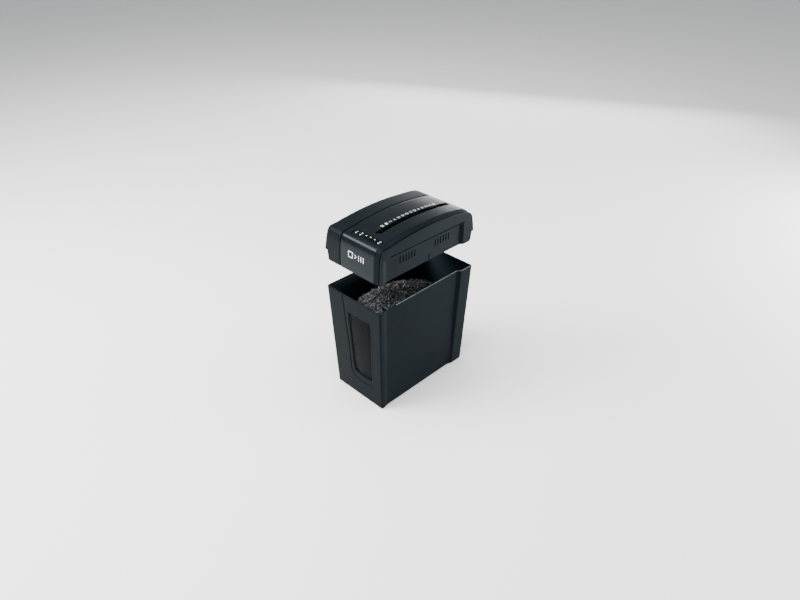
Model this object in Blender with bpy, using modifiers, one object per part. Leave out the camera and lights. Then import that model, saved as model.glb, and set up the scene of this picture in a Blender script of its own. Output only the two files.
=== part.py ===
"""Personal paper shredder: a tapering waste bin with a smoked window and a lift-off cutting head.

Frame: origin at the middle of the bin's underside, +Z up, the narrow window end faces -Y.
Lengths are written in millimetres and turned into metres by MM when a mesh is made.
"""
import math

import bmesh
import bpy
from mathutils import Euler, Matrix, Vector

MM = 0.001
GAP = 0.3                      # clearance between touching pieces

# ---- waste bin -----------------------------------------------------------------------------------
BIN_LENGTH, BIN_WIDTH, BIN_HEIGHT = 335.0, 192.0, 308.0
BIN_TAPER_X, BIN_TAPER_Y = 10.5, 11.5      # how far each side leans in at the bottom
BIN_WALL = 2.5
BIN_CORNER = 3.5                           # radius of the vertical edges
FOOT_HEIGHT, FOOT_RADIUS, FOOT_INSET = 2.0, 7.0, 16.0
WALL_LEAN = math.atan(BIN_TAPER_Y / BIN_HEIGHT)
WINDOW = [(-24.0, 262.0), (-15.0, 73.0), (54.5, 73.0), (61.5, 262.0)]   # corners as (x, z)
WINDOW_RADII = [3.0, 20.0, 3.0, 3.0]
WINDOW_CENTRE_Z = 167.5
WINDOW_PLATE = 2.0                         # thickness of the bezel and of the pane

# ---- recess that both long right-hand sides share ------------------------------------------------
RECESS_START, RECESS_FULL = -160.0, -138.0
RECESS_END, RECESS_RAMP_END = 115.0, 125.0
RECESS_DEPTH_FRONT, RECESS_DEPTH_REAR = 4.6, 7.8
RECESS_HEIGHT = 60.5                       # top of the head's recess above the head's underside
RECESS_STATIONS = [RECESS_START, -154, -149, -144, RECESS_FULL, -60, 30, RECESS_END, RECESS_RAMP_END]
VENT_STARTS, VENTS_IN_GROUP, VENT_PITCH, VENT_HALF = (-96.0, 24.7), 6, 9.8, 1.5

# ---- cutting head --------------------------------------------------------------------------------
HEAD_Z = 386.0                 # underside of the lifted head
SEATED_Z = BIN_HEIGHT + GAP    # underside of the head when it stands on the bin
HALF_X, HALF_Y = BIN_WIDTH / 2, BIN_LENGTH / 2
HEAD_CROWN = 100.0             # height of the arched top
ARCH_RADIUS = 764.0
COVER_WALL = 2.4
REAR_LIP = 25.5                # the covers stop this high on the left and rear sides
LEFT_SEAM, SHOULDER_SEAM, PANEL_SEAM = -39.0, 78.0, 93.0
SEAM = 0.9
SHOULDER_DROP = 3.0            # how far the shoulder strip falls towards the side panel
PANEL_THICKNESS = 3.0
SCREW_POSTS = ((-72, -146, 85.8), (-72, 142, 82.2), (68, -150, 84.3), (68, 142, 82.2))   # x, y, top
GLAND_X, GLAND_H = -60.0, 14.0

# ---- throat, rollers and drive -------------------------------------------------------------------
SLOT_X, SLOT_WIDTH, SLOT_FRONT, SLOT_REAR = 32.0, 10.0, -112.0, 131.0
PAPER_FRONT, PAPER_REAR = -105.0, 123.0
CHANNEL_WIDTH, GUIDE_WALL, GUIDE_BOTTOM = 8.0, 2.5, 63.0
ROLLER_SPACING, ROLLER_H = 28.4, 45.0
DISC_RADIUS, CORE_RADIUS, SHAFT_RADIUS = 16.5, 11.0, 5.0
DISC_PITCH, DISC_THICKNESS, DISC_COUNT = 12.0, 5.6, 19
ROLLER_X = {"a": SLOT_X - ROLLER_SPACING / 2, "b": SLOT_X + ROLLER_SPACING / 2}
PLATE = 2.0
FRONT_PLATE_Y, REAR_PLATE_Y = -112.0, 128.0
MOTOR_X, MOTOR_H, MOTOR_RADIUS = -52.0, 45.0, 22.0
MOTOR_FRONT, MOTOR_REAR = 32.0, REAR_PLATE_Y - GAP
ROTOR_RADIUS, AXLE_RADIUS = 2.5, 3.0
GEAR_LAYERS = {"a": (131.5, 136.5), "b": (137.5, 143.0), "c": (144.0, 151.0)}
TEETH = {"pinion": 10, "first_large": 34, "first_small": 12, "second_large": 30,
         "second_small": 12, "drive": 28, "roller": 14}
MODULE = {"pinion": 1.0, "first": 1.15, "second": 1.5, "roller": ROLLER_SPACING / 14}

# ---- controls ------------------------------------------------------------------------------------
STRIP_X, STRIP_Y = (-23.0, 70.0), (-146.0, -126.0)
KNOB_X = 30.0
LENS_PLACES, LENS_RADIUS = (-13.0, 2.0, 62.0), 2.0
LEVER_X, LEVER_Y, LEVER_H = SLOT_X - 11.0, 9.0, 76.0
PLUNGER_XY = (71, -132, 0)
PLUNGER_REACH = 6.0            # how far the safety plunger stands out below the head
SAFETY_H = 18.0

PLASTIC_DARK = ((0.022, 0.026, 0.029), 0.42, 0.0)
PLASTIC_TOP = ((0.075, 0.082, 0.086), 0.34, 0.0)
PLASTIC_BIN = ((0.018, 0.022, 0.025), 0.48, 0.0)
PLASTIC_INNER = ((0.012, 0.013, 0.014), 0.6, 0.0)
SMOKED = ((0.015, 0.017, 0.019), 0.12, 0.0)
PAPER = ((0.28, 0.28, 0.29), 0.9, 0.0)
STEEL = ((0.55, 0.55, 0.56), 0.35, 1.0)
DARK_STEEL = ((0.25, 0.25, 0.26), 0.4, 1.0)
BRONZE = ((0.55, 0.37, 0.18), 0.45, 1.0)
NYLON = ((0.72, 0.70, 0.64), 0.5, 0.0)
BOARD_GREEN = ((0.03, 0.16, 0.07), 0.5, 0.0)
RUBBER = ((0.02, 0.02, 0.02), 0.85, 0.0)
SIGNAL_WHITE = ((0.75, 0.76, 0.78), 0.3, 0.0)

for old in list(bpy.data.objects):
    bpy.data.objects.remove(old, do_unlink=True)

parts = bpy.data.collections.new("paper_shredder")
cutters = bpy.data.collections.new("cutters")
for collection in (parts, cutters):
    bpy.context.scene.collection.children.link(collection)


# ---- turns ---------------------------------------------------------------------------------------
FACING_X = (math.pi / 2, 0, math.pi / 2)    # outline drawn in (y, z), extruded along X
FACING_Y = (math.pi / 2, 0, 0)              # outline drawn in (x, z), extruded along Y
ALONG_Y = (-math.pi / 2, 0, 0)              # a turned piece whose axis points along +Y


# ---- modelling helpers ---------------------------------------------------------------------------
def paint(obj, finish):
    """Give an object its own Principled material."""
    colour, roughness, metallic = finish
    material = bpy.data.materials.new(obj.name)
    material.use_nodes = True
    shader = material.node_tree.nodes["Principled BSDF"]
    shader.inputs["Base Color"].default_value = (*colour, 1.0)
    shader.inputs["Roughness"].default_value = roughness
    shader.inputs["Metallic"].default_value = metallic
    obj.data.materials.clear()
    obj.data.materials.append(material)


def place(mesh, name, finish=None, location=(0, 0, 0), rotation=(0, 0, 0)):
    """Link a mesh as a part, or as a hidden cutter when it has no finish."""
    obj = bpy.data.objects.new(name, mesh)
    obj.location = Vector(location) * MM
    obj.rotation_euler = rotation
    if finish:
        parts.objects.link(obj)
        paint(obj, finish)
    else:
        cutters.objects.link(obj)
        obj.hide_render = True
        obj.display_type = "WIRE"
    return obj


def in_head(x, y, height):
    """A place at a height above the head's underside."""
    return (x, y, HEAD_Z + height)


def smooth(obj, angle=40):
    """Shade smooth, with edges sharper than the angle kept crisp."""
    obj.data.shade_smooth()
    obj.data.set_sharp_from_angle(angle=math.radians(angle))
    return obj


def box(name, low, high, finish=None):
    """An axis-aligned box between two corners."""
    size = Vector(high) - Vector(low)
    bm = bmesh.new()
    bmesh.ops.create_cube(bm, size=1.0, matrix=Matrix.Diagonal((*(size * MM), 1.0)))
    mesh = bpy.data.meshes.new(name)
    bm.to_mesh(mesh)
    bm.free()
    return place(mesh, name, finish, (Vector(low) + Vector(high)) / 2)


def surface(name, rings, caps=(), closed=True, finish=None):
    """Quads between equal rings of points, with n-gons over the rings listed in caps."""
    size = len(rings[0])
    points = [Vector(p) * MM for ring in rings for p in ring]
    faces = []
    for r in range(len(rings) - 1):
        for i in range(size if closed else size - 1):
            j = (i + 1) % size
            faces.append((r * size + i, r * size + j, (r + 1) * size + j, (r + 1) * size + i))
    for r in caps:
        ring = tuple(range(r * size, (r + 1) * size))
        faces.append(ring if r else ring[::-1])
    mesh = bpy.data.meshes.new(name)
    mesh.from_pydata(points, [], faces)
    mesh.update()
    return place(mesh, name, finish)


def prism(name, outlines, thickness, finish=None, location=(0, 0, 0), rotation=(0, 0, 0)):
    """A flat 2D curve outline, with holes, extruded and made a mesh with welded caps."""
    curve = bpy.data.curves.new(name, "CURVE")
    curve.dimensions = "2D"
    curve.fill_mode = "BOTH"
    curve.extrude = thickness / 2 * MM
    for outline in outlines:
        spline = curve.splines.new("POLY")
        spline.points.add(len(outline) - 1)
        spline.use_cyclic_u = True
        for point, (u, v) in zip(spline.points, outline):
            point.co = (u * MM, v * MM, 0, 1)
    drawn = bpy.data.objects.new(name, curve)
    cutters.objects.link(drawn)
    mesh = bpy.data.meshes.new_from_object(drawn.evaluated_get(bpy.context.evaluated_depsgraph_get()))
    bpy.data.objects.remove(drawn)
    bm = bmesh.new()
    bm.from_mesh(mesh)
    bmesh.ops.remove_doubles(bm, verts=bm.verts, dist=1e-6)
    bmesh.ops.recalc_face_normals(bm, faces=bm.faces)
    bm.to_mesh(mesh)
    bm.free()
    return place(mesh, name, finish, location, rotation)


def turned(name, profile, finish=None, location=(0, 0, 0), rotation=(0, 0, 0), steps=16):
    """A closed profile of (radius, height), outer side running downwards, turned by Screw."""
    mesh = bpy.data.meshes.new(name)
    points = [(radius * MM, 0, height * MM) for radius, height in profile]
    on_axis = profile[0][0] == 0
    edges = [(i, i + 1) for i in range(len(points) - 1)]
    if not on_axis:
        edges.append((len(points) - 1, 0))
    mesh.from_pydata(points, edges, [])
    obj = place(mesh, name, finish, location, rotation)
    screw = obj.modifiers.new("turn", "SCREW")
    screw.steps = screw.render_steps = steps
    screw.use_merge_vertices = True
    screw.merge_threshold = 0.00001
    screw.use_smooth_shade = True
    return obj


def rod(name, radius, low, high, finish=None, location=(0, 0, 0), rotation=(0, 0, 0), bore=0.0, steps=16):
    """A plain cylinder or tube between two heights on its own axis."""
    profile = [(bore, high), (radius, high), (radius, low), (bore, low)]
    return turned(name, profile, finish, location, rotation, steps)


def boolean(obj, tool, operation="DIFFERENCE"):
    modifier = obj.modifiers.new(tool.name, "BOOLEAN")
    modifier.operation = operation
    modifier.solver = "EXACT"
    modifier.object = tool
    return obj


def thicken(obj, thickness):
    """Wall of even thickness on the inner side of an open surface."""
    solid = obj.modifiers.new("wall", "SOLIDIFY")
    solid.thickness = thickness * MM
    solid.offset = -1
    solid.use_even_offset = True
    return obj


def bevel(obj, width, segments=2, angle=35):
    edge = obj.modifiers.new("edges", "BEVEL")
    edge.width = width * MM
    edge.segments = segments
    edge.angle_limit = math.radians(angle)
    edge.harden_normals = False
    return obj


def rounded(corners, radii, steps=4):
    """A closed outline whose corners are arcs; corners run anticlockwise."""
    outline = []
    for i, (corner, radius) in enumerate(zip(corners, radii)):
        here = Vector(corner)
        back = (Vector(corners[i - 1]) - here).normalized()
        ahead = (Vector(corners[(i + 1) % len(corners)]) - here).normalized()
        half = back.angle(ahead) / 2
        if radius <= 0:
            outline.append(tuple(here))
            continue
        centre = here + (back + ahead).normalized() * radius / math.sin(half)
        start = here + back * radius / math.tan(half) - centre
        end = here + ahead * radius / math.tan(half) - centre
        sweep = start.angle_signed(end)
        for k in range(steps + 1):
            turn = Matrix.Rotation(-sweep * k / steps, 2)
            outline.append(tuple(centre + turn @ start))
    return outline


def circle(cx, cy, radius, steps=16):
    """Points evenly round a circle."""
    angles = [2 * math.pi * k / steps for k in range(steps)]
    return [(cx + radius * math.cos(a), cy + radius * math.sin(a)) for a in angles]


# ---- shapes that several pieces share ------------------------------------------------------------
def recess_depth(y):
    """Depth of the side recess along the machine: soft start, slow growth, short ramp out."""
    if y <= RECESS_START or y >= RECESS_RAMP_END:
        return 0.0
    if y < RECESS_FULL:
        t = (y - RECESS_START) / (RECESS_FULL - RECESS_START)
        return RECESS_DEPTH_FRONT * t * t * (3 - 2 * t)
    if y <= RECESS_END:
        t = (y - RECESS_FULL) / (RECESS_END - RECESS_FULL)
        return RECESS_DEPTH_FRONT + (RECESS_DEPTH_REAR - RECESS_DEPTH_FRONT) * t
    return RECESS_DEPTH_REAR * (RECESS_RAMP_END - y) / (RECESS_RAMP_END - RECESS_END)


def arch(y):
    """Height of the head's arched top at a station along Y."""
    return HEAD_CROWN - y * y / (2 * ARCH_RADIUS)


def head_profile():
    """(y, height) from the front's bottom edge over the top to the rear lip."""
    front = [(-HALF_Y, 0.0), (-HALF_Y + 0.6, 25.0), (-HALF_Y + 2.6, 58.0)]
    bend = [(-HALF_Y + 4.2, 68.5), (-HALF_Y + 7.2, 77.5), (-HALF_Y + 11.6, 83.5), (-HALF_Y + 18, 87.2)]
    top = [(y, arch(y)) for y in (-132, -104, -76, -48, -20, 10, 40, 70, 98, 122)]
    rear = [(137, 86.8), (146.5, 82.2), (153.0, 75.5), (157.4, 66.0), (160.6, 52.0), (163.2, 36.0),
            (164.4, REAR_LIP)]
    return front + bend + top + rear


def outward(profile):
    """Unit normals of an open (y, height) profile that runs front to rear over the top."""
    normals = []
    for i in range(len(profile)):
        before = Vector(profile[max(i - 1, 0)])
        after = Vector(profile[min(i + 1, len(profile) - 1)])
        along = (after - before).normalized()
        normals.append(Vector((-along.y, along.x)))
    return normals


PROFILE = head_profile()
NORMALS = outward(PROFILE)


def inset(amount):
    """The head profile moved inwards; amount is a number or a function of the normal."""
    moved = []
    for (y, h), n in zip(PROFILE, NORMALS):
        step = amount(n) if callable(amount) else amount
        moved.append((y - n.x * step, h - n.y * step))
    return moved


def head_ring(x, profile):
    """Points of one section of a cover at x, in world millimetres."""
    return [(x, y, HEAD_Z + h) for y, h in profile]


# ---- bin -----------------------------------------------------------------------------------------
def bin_ring(z):
    """Plan outline of the bin at height z, with the recess in its right-hand side."""
    lean = 1 - z / BIN_HEIGHT
    hx, hy = HALF_X - BIN_TAPER_X * lean, HALF_Y - BIN_TAPER_Y * lean
    depth_scale = 1 - 0.4 * lean
    squeeze = hy / HALF_Y
    ring = []
    for cx, cy, start in ((-1, -1, 180), (1, -1, 270)):
        for k in range(4):
            a = math.radians(start + 30 * k)
            ring.append((cx * (hx - BIN_CORNER) + BIN_CORNER * math.cos(a),
                         cy * (hy - BIN_CORNER) + BIN_CORNER * math.sin(a), z))
    for y in RECESS_STATIONS:
        ring.append((hx - recess_depth(y) * depth_scale, y * squeeze, z))
    for cx, cy, start in ((1, 1, 0), (-1, 1, 90)):
        for k in range(4):
            a = math.radians(start + 30 * k)
            ring.append((cx * (hx - BIN_CORNER) + BIN_CORNER * math.cos(a),
                         cy * (hy - BIN_CORNER) + BIN_CORNER * math.sin(a), z))
    return ring


def front_y(z):
    """Place along Y of the bin's front face at a height."""
    return -(HALF_Y - BIN_TAPER_Y * (1 - z / BIN_HEIGHT))


def window_outline(grow):
    """The window's rounded outline, grown evenly, about the window's centre."""
    cx = sum(x for x, _ in WINDOW) / 4
    corners = []
    for x, z in WINDOW:
        sx, sz = math.copysign(1, x - cx), math.copysign(1, z - WINDOW_CENTRE_Z)
        corners.append((x + sx * grow, z - WINDOW_CENTRE_Z + sz * grow))
    return rounded(corners, [max(r + grow, 1.0) for r in WINDOW_RADII], steps=5)


def on_front_wall(depth):
    """Place and turn of a flat piece that lies at a depth behind the bin's front face."""
    return (0, front_y(WINDOW_CENTRE_Z) + depth, WINDOW_CENTRE_Z), (math.pi / 2 + WALL_LEAN, 0, 0)


def make_bin():
    body = surface("bin_body", [bin_ring(z) for z in (FOOT_HEIGHT, 110.0, 210.0, BIN_HEIGHT)], caps=(0,),
                   finish=PLASTIC_BIN)
    thicken(body, BIN_WALL)
    ledge = box("cut_ledge", (-HALF_X + 1.2, -150, BIN_HEIGHT - 4.5), (-86.5, 150, BIN_HEIGHT - 1.5))
    boolean(body, ledge, "UNION")
    x, y, _ = PLUNGER_XY
    pad_top = SEATED_Z - PLUNGER_REACH - 0.4
    arm = box("cut_tab_arm", (x - 5, y - 5, BIN_HEIGHT - 15), (HALF_X - 6.2, y + 5, BIN_HEIGHT - 9))
    pad = box("cut_tab_pad", (x - 4, y - 4, BIN_HEIGHT - 10), (x + 4, y + 4, pad_top))
    for tool in (arm, pad):
        boolean(body, tool, "UNION")
    at_window = (0, front_y(WINDOW_CENTRE_Z), WINDOW_CENTRE_Z)
    hole = prism("cut_window", [window_outline(0)], 14, location=at_window, rotation=FACING_Y)
    boolean(body, hole)
    boolean(body, groove())
    smooth(body, 25)

    place_at, turn = on_front_wall(1.6)
    frame = [window_outline(-0.5), window_outline(-3.6)]
    bezel = prism("window_bezel", frame, WINDOW_PLATE, PLASTIC_DARK, place_at, turn)
    smooth(bezel, 30)
    place_at, turn = on_front_wall(BIN_WALL + GAP + 1.1)
    smooth(prism("window_pane", [window_outline(4.0)], WINDOW_PLATE, SMOKED, place_at, turn), 30)

    for i, (sx, sy) in enumerate(((-1, -1), (1, -1), (1, 1), (-1, 1)), start=1):
        at = (sx * (HALF_X - BIN_TAPER_X - FOOT_INSET), sy * (HALF_Y - BIN_TAPER_Y - FOOT_INSET), 0)
        rod(f"rubber_foot_{i}", FOOT_RADIUS, 0, FOOT_HEIGHT - GAP, RUBBER, at)


def groove():
    """Cutter for the shallow line that borders the window on its left and below."""
    route = [(-39.5, BIN_HEIGHT + 4), (-33.2, 236), (-27.5, 164), (-25.2, 92), (-23.4, 78), (-17.5, 66),
             (-7, 58.6), (10, 55.5), (33, 55.2), (56, 55.2)]
    curve = bpy.data.curves.new("cut_groove", "CURVE")
    curve.dimensions = "3D"
    curve.bevel_depth = 0.9 * MM
    curve.bevel_resolution = 1
    curve.use_fill_caps = True
    spline = curve.splines.new("POLY")
    spline.points.add(len(route) - 1)
    for point, (x, z) in zip(spline.points, route):
        point.co = (x * MM, (front_y(z) + 0.1) * MM, z * MM, 1)
    return curve_to_mesh(curve)


def curve_to_mesh(curve):
    """Make a bevelled curve a closed mesh so that it can cut."""
    drawn = bpy.data.objects.new(curve.name, curve)
    cutters.objects.link(drawn)
    mesh = bpy.data.meshes.new_from_object(drawn.evaluated_get(bpy.context.evaluated_depsgraph_get()))
    bpy.data.objects.remove(drawn)
    bm = bmesh.new()
    bm.from_mesh(mesh)
    bmesh.ops.remove_doubles(bm, verts=bm.verts, dist=1e-6)
    bmesh.ops.recalc_face_normals(bm, faces=bm.faces)
    bm.to_mesh(mesh)
    bm.free()
    return place(mesh, curve.name)


def make_shreds():
    """The heap of paper bits: a soft mound, highest near the front right corner."""
    def ring(z, grow):
        lean = 1 - z / BIN_HEIGHT
        hx = HALF_X - BIN_TAPER_X * lean - BIN_WALL - 9.5 - grow
        hy = HALF_Y - BIN_TAPER_Y * lean - BIN_WALL - 4.5 - grow
        return hx, hy

    steps = 20
    rings = []
    for z, grow in ((5.5, 0.0), (110.0, 0.0), (205.0, 0.0), (224.0, 4.0)):
        hx, hy = ring(z, grow)
        rings.append([superellipse(hx, hy, 2 * math.pi * k / steps, z, (0, 0)) for k in range(steps)])
    mound = ((246.0, 68, 122, (4, -20)), (266.0, 54, 92, (12, -45)), (280.0, 34, 58, (18, -62)),
             (286.0, 12, 22, (20, -68)))
    for z, hx, hy, centre in mound:
        rings.append([superellipse(hx, hy, 2 * math.pi * k / steps, z, centre) for k in range(steps)])
    heap = surface("paper_shreds", rings, caps=(0, len(rings) - 1), finish=PAPER)
    smooth(heap, 60)


def superellipse(hx, hy, angle, z, centre, power=0.35):
    """A point on a rounded rectangle: cosine and sine raised to a power, keeping their signs."""
    c, s = math.cos(angle), math.sin(angle)
    x = centre[0] + math.copysign(abs(c) ** power, c) * hx
    y = centre[1] + math.copysign(abs(s) ** power, s) * hy
    return (x, y, z)


# ---- head covers ---------------------------------------------------------------------------------
def make_left_cover():
    """Left shell: the arched skin, a soft top edge, a crisp front edge and the outer side wall."""
    def edge_radius(n):
        return 2.6 + 15.0 * max(n.y, 0.0) ** 2

    rings = [head_ring(LEFT_SEAM - SEAM / 2, PROFILE)]
    for k in range(5):
        t = math.radians(22.5 * k)
        moved = inset(lambda n: edge_radius(n) * (1 - math.cos(t)))
        rings.append([(-HALF_X + edge_radius(n) * (1 - math.sin(t)), y, HEAD_Z + h)
                      for (y, h), n in zip(moved, NORMALS)])
    cover = surface("left_cover", rings, caps=(len(rings) - 1,), closed=False, finish=PLASTIC_DARK)
    thicken(cover, COVER_WALL)
    notch = box("cut_left_notch", in_head(-HALF_X - 3, -HALF_Y - 3, -3), in_head(-88.3, HALF_Y + 3, REAR_LIP))
    boolean(cover, notch)
    for i, (x, y, top) in enumerate(SCREW_POSTS[:2], start=1):
        boolean(cover, boss(f"cut_left_boss_{i}", x, y, top), "UNION")
    smooth(cover, 30)


def boss(name, x, y, top):
    """A screw post that stands between the tray's floor and the underside of a cover."""
    return rod(name, 4.0, HEAD_Z + 3.0, HEAD_Z + top, None, (x, y, 0), bore=1.9, steps=12)


def make_top_cover():
    """Centre shell that wraps over the front, top and rear, with the paper slot."""
    low, high = LEFT_SEAM + SEAM / 2, SHOULDER_SEAM - GAP / 2
    cover = surface("top_cover", [head_ring(high, PROFILE), head_ring(low, PROFILE)], closed=False,
                    finish=PLASTIC_TOP)
    thicken(cover, COVER_WALL)
    cx, cy = SLOT_X, (SLOT_FRONT + SLOT_REAR) / 2
    half = (SLOT_REAR - SLOT_FRONT) / 2
    side = SLOT_WIDTH / 2
    corners = [(-side, -half), (side, -half), (side, half), (-side, half)]
    slot = prism("cut_slot", [rounded(corners, [2.5] * 4)], 60, location=(cx, cy, HEAD_Z + 95))
    boolean(cover, slot)
    boolean(cover, strip_prism("cut_strip", 0.0, 20.0))
    for i, (x, y, top) in enumerate(SCREW_POSTS[2:], start=1):
        boolean(cover, boss(f"cut_top_boss_{i}", x, y, top), "UNION")
    smooth(cover, 30)


def strip_prism(name, shrink, height, finish=None, drop=0.0):
    """The control strip's slanted rounded plate, square to the arch beneath it."""
    (x0, x1), (y0, y1) = STRIP_X, STRIP_Y
    cx, cy = (x0 + x1) / 2, (y0 + y1) / 2
    corners = [(x0 - cx + shrink, y0 - cy + shrink), (x1 - cx - shrink, y0 - cy + shrink),
               (x1 - cx - shrink, y1 - cy - shrink), (x0 - cx + shrink, y1 - cy - shrink)]
    tilt = math.atan(-cy / ARCH_RADIUS)
    outline = [rounded(corners, [3.0 - shrink] * 4)]
    sunk = (cx, cy + drop * math.sin(tilt), HEAD_Z + arch(cy) - drop * math.cos(tilt))
    return prism(name, outline, height, finish, sunk, (tilt, 0, 0))


def make_shoulder_trim():
    """Dark strip that falls from the centre cover to the side panel, as one bent bar."""
    near, far = SHOULDER_SEAM + GAP / 2, PANEL_SEAM - SEAM / 2
    lines = [(near, PROFILE), (far, inset(SHOULDER_DROP)), (far, inset(SHOULDER_DROP + COVER_WALL)),
             (near, inset(COVER_WALL))]
    rings = [[(x, line[i][0], HEAD_Z + line[i][1]) for x, line in lines] for i in range(len(PROFILE))]
    trim = surface("shoulder_trim", rings, caps=(0, len(rings) - 1), finish=PLASTIC_DARK)
    smooth(trim, 30)


def panel_outline(grow):
    """Closed (y, height) outline of the side panel with its stepped rear foot."""
    edge = [(y, HEAD_Z + h) for y, h in inset(SHOULDER_DROP - grow)]
    foot = [(157.0, HEAD_Z + REAR_LIP), (153.0, HEAD_Z + 6.0), (148.0, HEAD_Z)]
    return (edge + foot)[::-1]


def make_right_cover():
    """Side panel: a flat plate with the tapering finger recess and two groups of vents."""
    deep = RECESS_DEPTH_REAR + COVER_WALL
    panel = prism("right_cover", [panel_outline(0)], PANEL_THICKNESS, PLASTIC_DARK,
                  (HALF_X - PANEL_THICKNESS / 2, 0, 0), FACING_X)
    back = box("cut_panel_back", (HALF_X - deep, RECESS_START + 2, HEAD_Z),
               (HALF_X - PANEL_THICKNESS + 0.5, RECESS_RAMP_END + 4, HEAD_Z + RECESS_HEIGHT + COVER_WALL))
    boolean(panel, back, "UNION")
    surface_line = [(HALF_X - recess_depth(y), y) for y in RECESS_STATIONS]
    recess = prism("cut_recess", [[*surface_line, (HALF_X + 6, RECESS_RAMP_END), (HALF_X + 6, RECESS_START)]],
                   RECESS_HEIGHT + 10, location=(0, 0, HEAD_Z + (RECESS_HEIGHT - 10) / 2))
    boolean(panel, recess)
    wall_line = [(HALF_X - max(recess_depth(y), 0.8) - COVER_WALL, y) for y in RECESS_STATIONS]
    far_y = RECESS_RAMP_END + 12
    pocket_outline = [(HALF_X - deep - 3, RECESS_START), *wall_line, (wall_line[-1][0], far_y),
                      (HALF_X - deep - 3, far_y)]
    boolean(panel, prism("cut_pocket", [pocket_outline], 100, location=(0, 0, HEAD_Z + 40)))
    for group, start in enumerate(VENT_STARTS, start=1):
        for i in range(VENTS_IN_GROUP):
            y = start + VENT_PITCH * i
            low, high = in_head(78, y - VENT_HALF, 30), in_head(HALF_X + 2, y + VENT_HALF, 49)
            boolean(panel, box(f"cut_vent_{group}_{i}", low, high))
    slit = box("cut_side_slit", (78, 2.0, HEAD_Z - 2), (HALF_X + 2, 4.4, HEAD_Z + 17))
    boolean(panel, slit)
    smooth(panel, 30)


def make_tray():
    """Lower housing: floor, stepped walls, the discharge opening and a locating skirt."""
    def ring(h, left, rear):
        corners = [(left, -HALF_Y + 4.4), (82.8, -HALF_Y + 4.4), (82.8, rear), (left, rear)]
        return [(x, y, HEAD_Z + h) for x, y in rounded(corners, [3.0] * 4, steps=3)]

    rings = [ring(0.0, -85.7, 148.0), ring(6.0, -86.3, 152.8), ring(25.8, -88.0, 156.7),
             ring(26.3, -92.9, 160.6), ring(33.0, -92.9, 159.8)]
    tray = surface("lower_housing", rings, caps=(0,), finish=PLASTIC_INNER)
    thicken(tray, 2.2)
    skirt_outer = rounded([(-81, -158), (80, -158), (80, 137), (-81, 137)], [3.4] * 4, steps=3)
    skirt_inner = rounded([(-79, -156), (78, -156), (78, 135), (-79, 135)], [2.5] * 4, steps=3)
    skirt = prism("cut_skirt", [skirt_outer, skirt_inner], 9.0, location=(0, 0, HEAD_Z - 3.5))
    boolean(tray, skirt, "UNION")
    boolean(tray, box("cut_discharge", (3, -117, HEAD_Z - 2), (61, 119, HEAD_Z + 4)))
    for i, (x, y, _) in enumerate(SCREW_POSTS, start=1):
        boolean(tray, rod(f"cut_screw_hole_{i}", 2.1, HEAD_Z - 2, HEAD_Z + 4, None, (x, y, 0), steps=12))
    boolean(tray, rod("cut_plunger_hole", 2.5, HEAD_Z - 2, HEAD_Z + 4, None, PLUNGER_XY, steps=12))
    boolean(tray, rod("cut_gland_hole", 5.2, 140, 170, None, (GLAND_X, 0, HEAD_Z + GLAND_H), ALONG_Y))
    smooth(tray, 30)


def make_head_fittings():
    """Screws under the posts and the gland that the cord would leave by."""
    for i, (x, y, _) in enumerate(SCREW_POSTS, start=1):
        profile = [(0, 14), (1.6, 14), (1.6, -0.3), (3.6, -0.3), (3.2, -2.0), (0, -2.0)]
        turned(f"cover_screw_{i}", profile, DARK_STEEL, (x, y, HEAD_Z), steps=12)
    gland = [(3.6, 161.5), (7.0, 161.5), (7.5, 160.3), (7.5, 158.4), (4.9, 158.4), (4.9, 149.0), (3.6, 149.0)]
    turned("cord_gland", gland, RUBBER, (GLAND_X, 0, HEAD_Z + GLAND_H), ALONG_Y)


def make_throat_guide():
    """Funnel walls from the slot down to the rollers, with a notch for the sensor lever."""
    front, rear = FRONT_PLATE_Y + PLATE + GAP, REAR_PLATE_Y - GAP
    stations = [front + (rear - front) * k / 8 for k in range(9)]
    top = [(y, HEAD_Z + arch(y) - COVER_WALL - 0.6) for y in reversed(stations)]
    outline = [(front, HEAD_Z + GUIDE_BOTTOM), (rear, HEAD_Z + GUIDE_BOTTOM), *top]
    width = CHANNEL_WIDTH + 2 * GUIDE_WALL
    guide = prism("throat_guide", [outline], width, PLASTIC_INNER, (SLOT_X, 0, 0), FACING_X)
    channel = box("cut_channel", (SLOT_X - CHANNEL_WIDTH / 2, PAPER_FRONT, HEAD_Z + 50),
                  (SLOT_X + CHANNEL_WIDTH / 2, PAPER_REAR, HEAD_Z + 110))
    notch = box("cut_lever_notch", in_head(SLOT_X - 8, LEVER_Y - 2.4, 62), in_head(SLOT_X, LEVER_Y + 2.4, 82))
    boolean(guide, channel)
    boolean(guide, notch)


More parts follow.
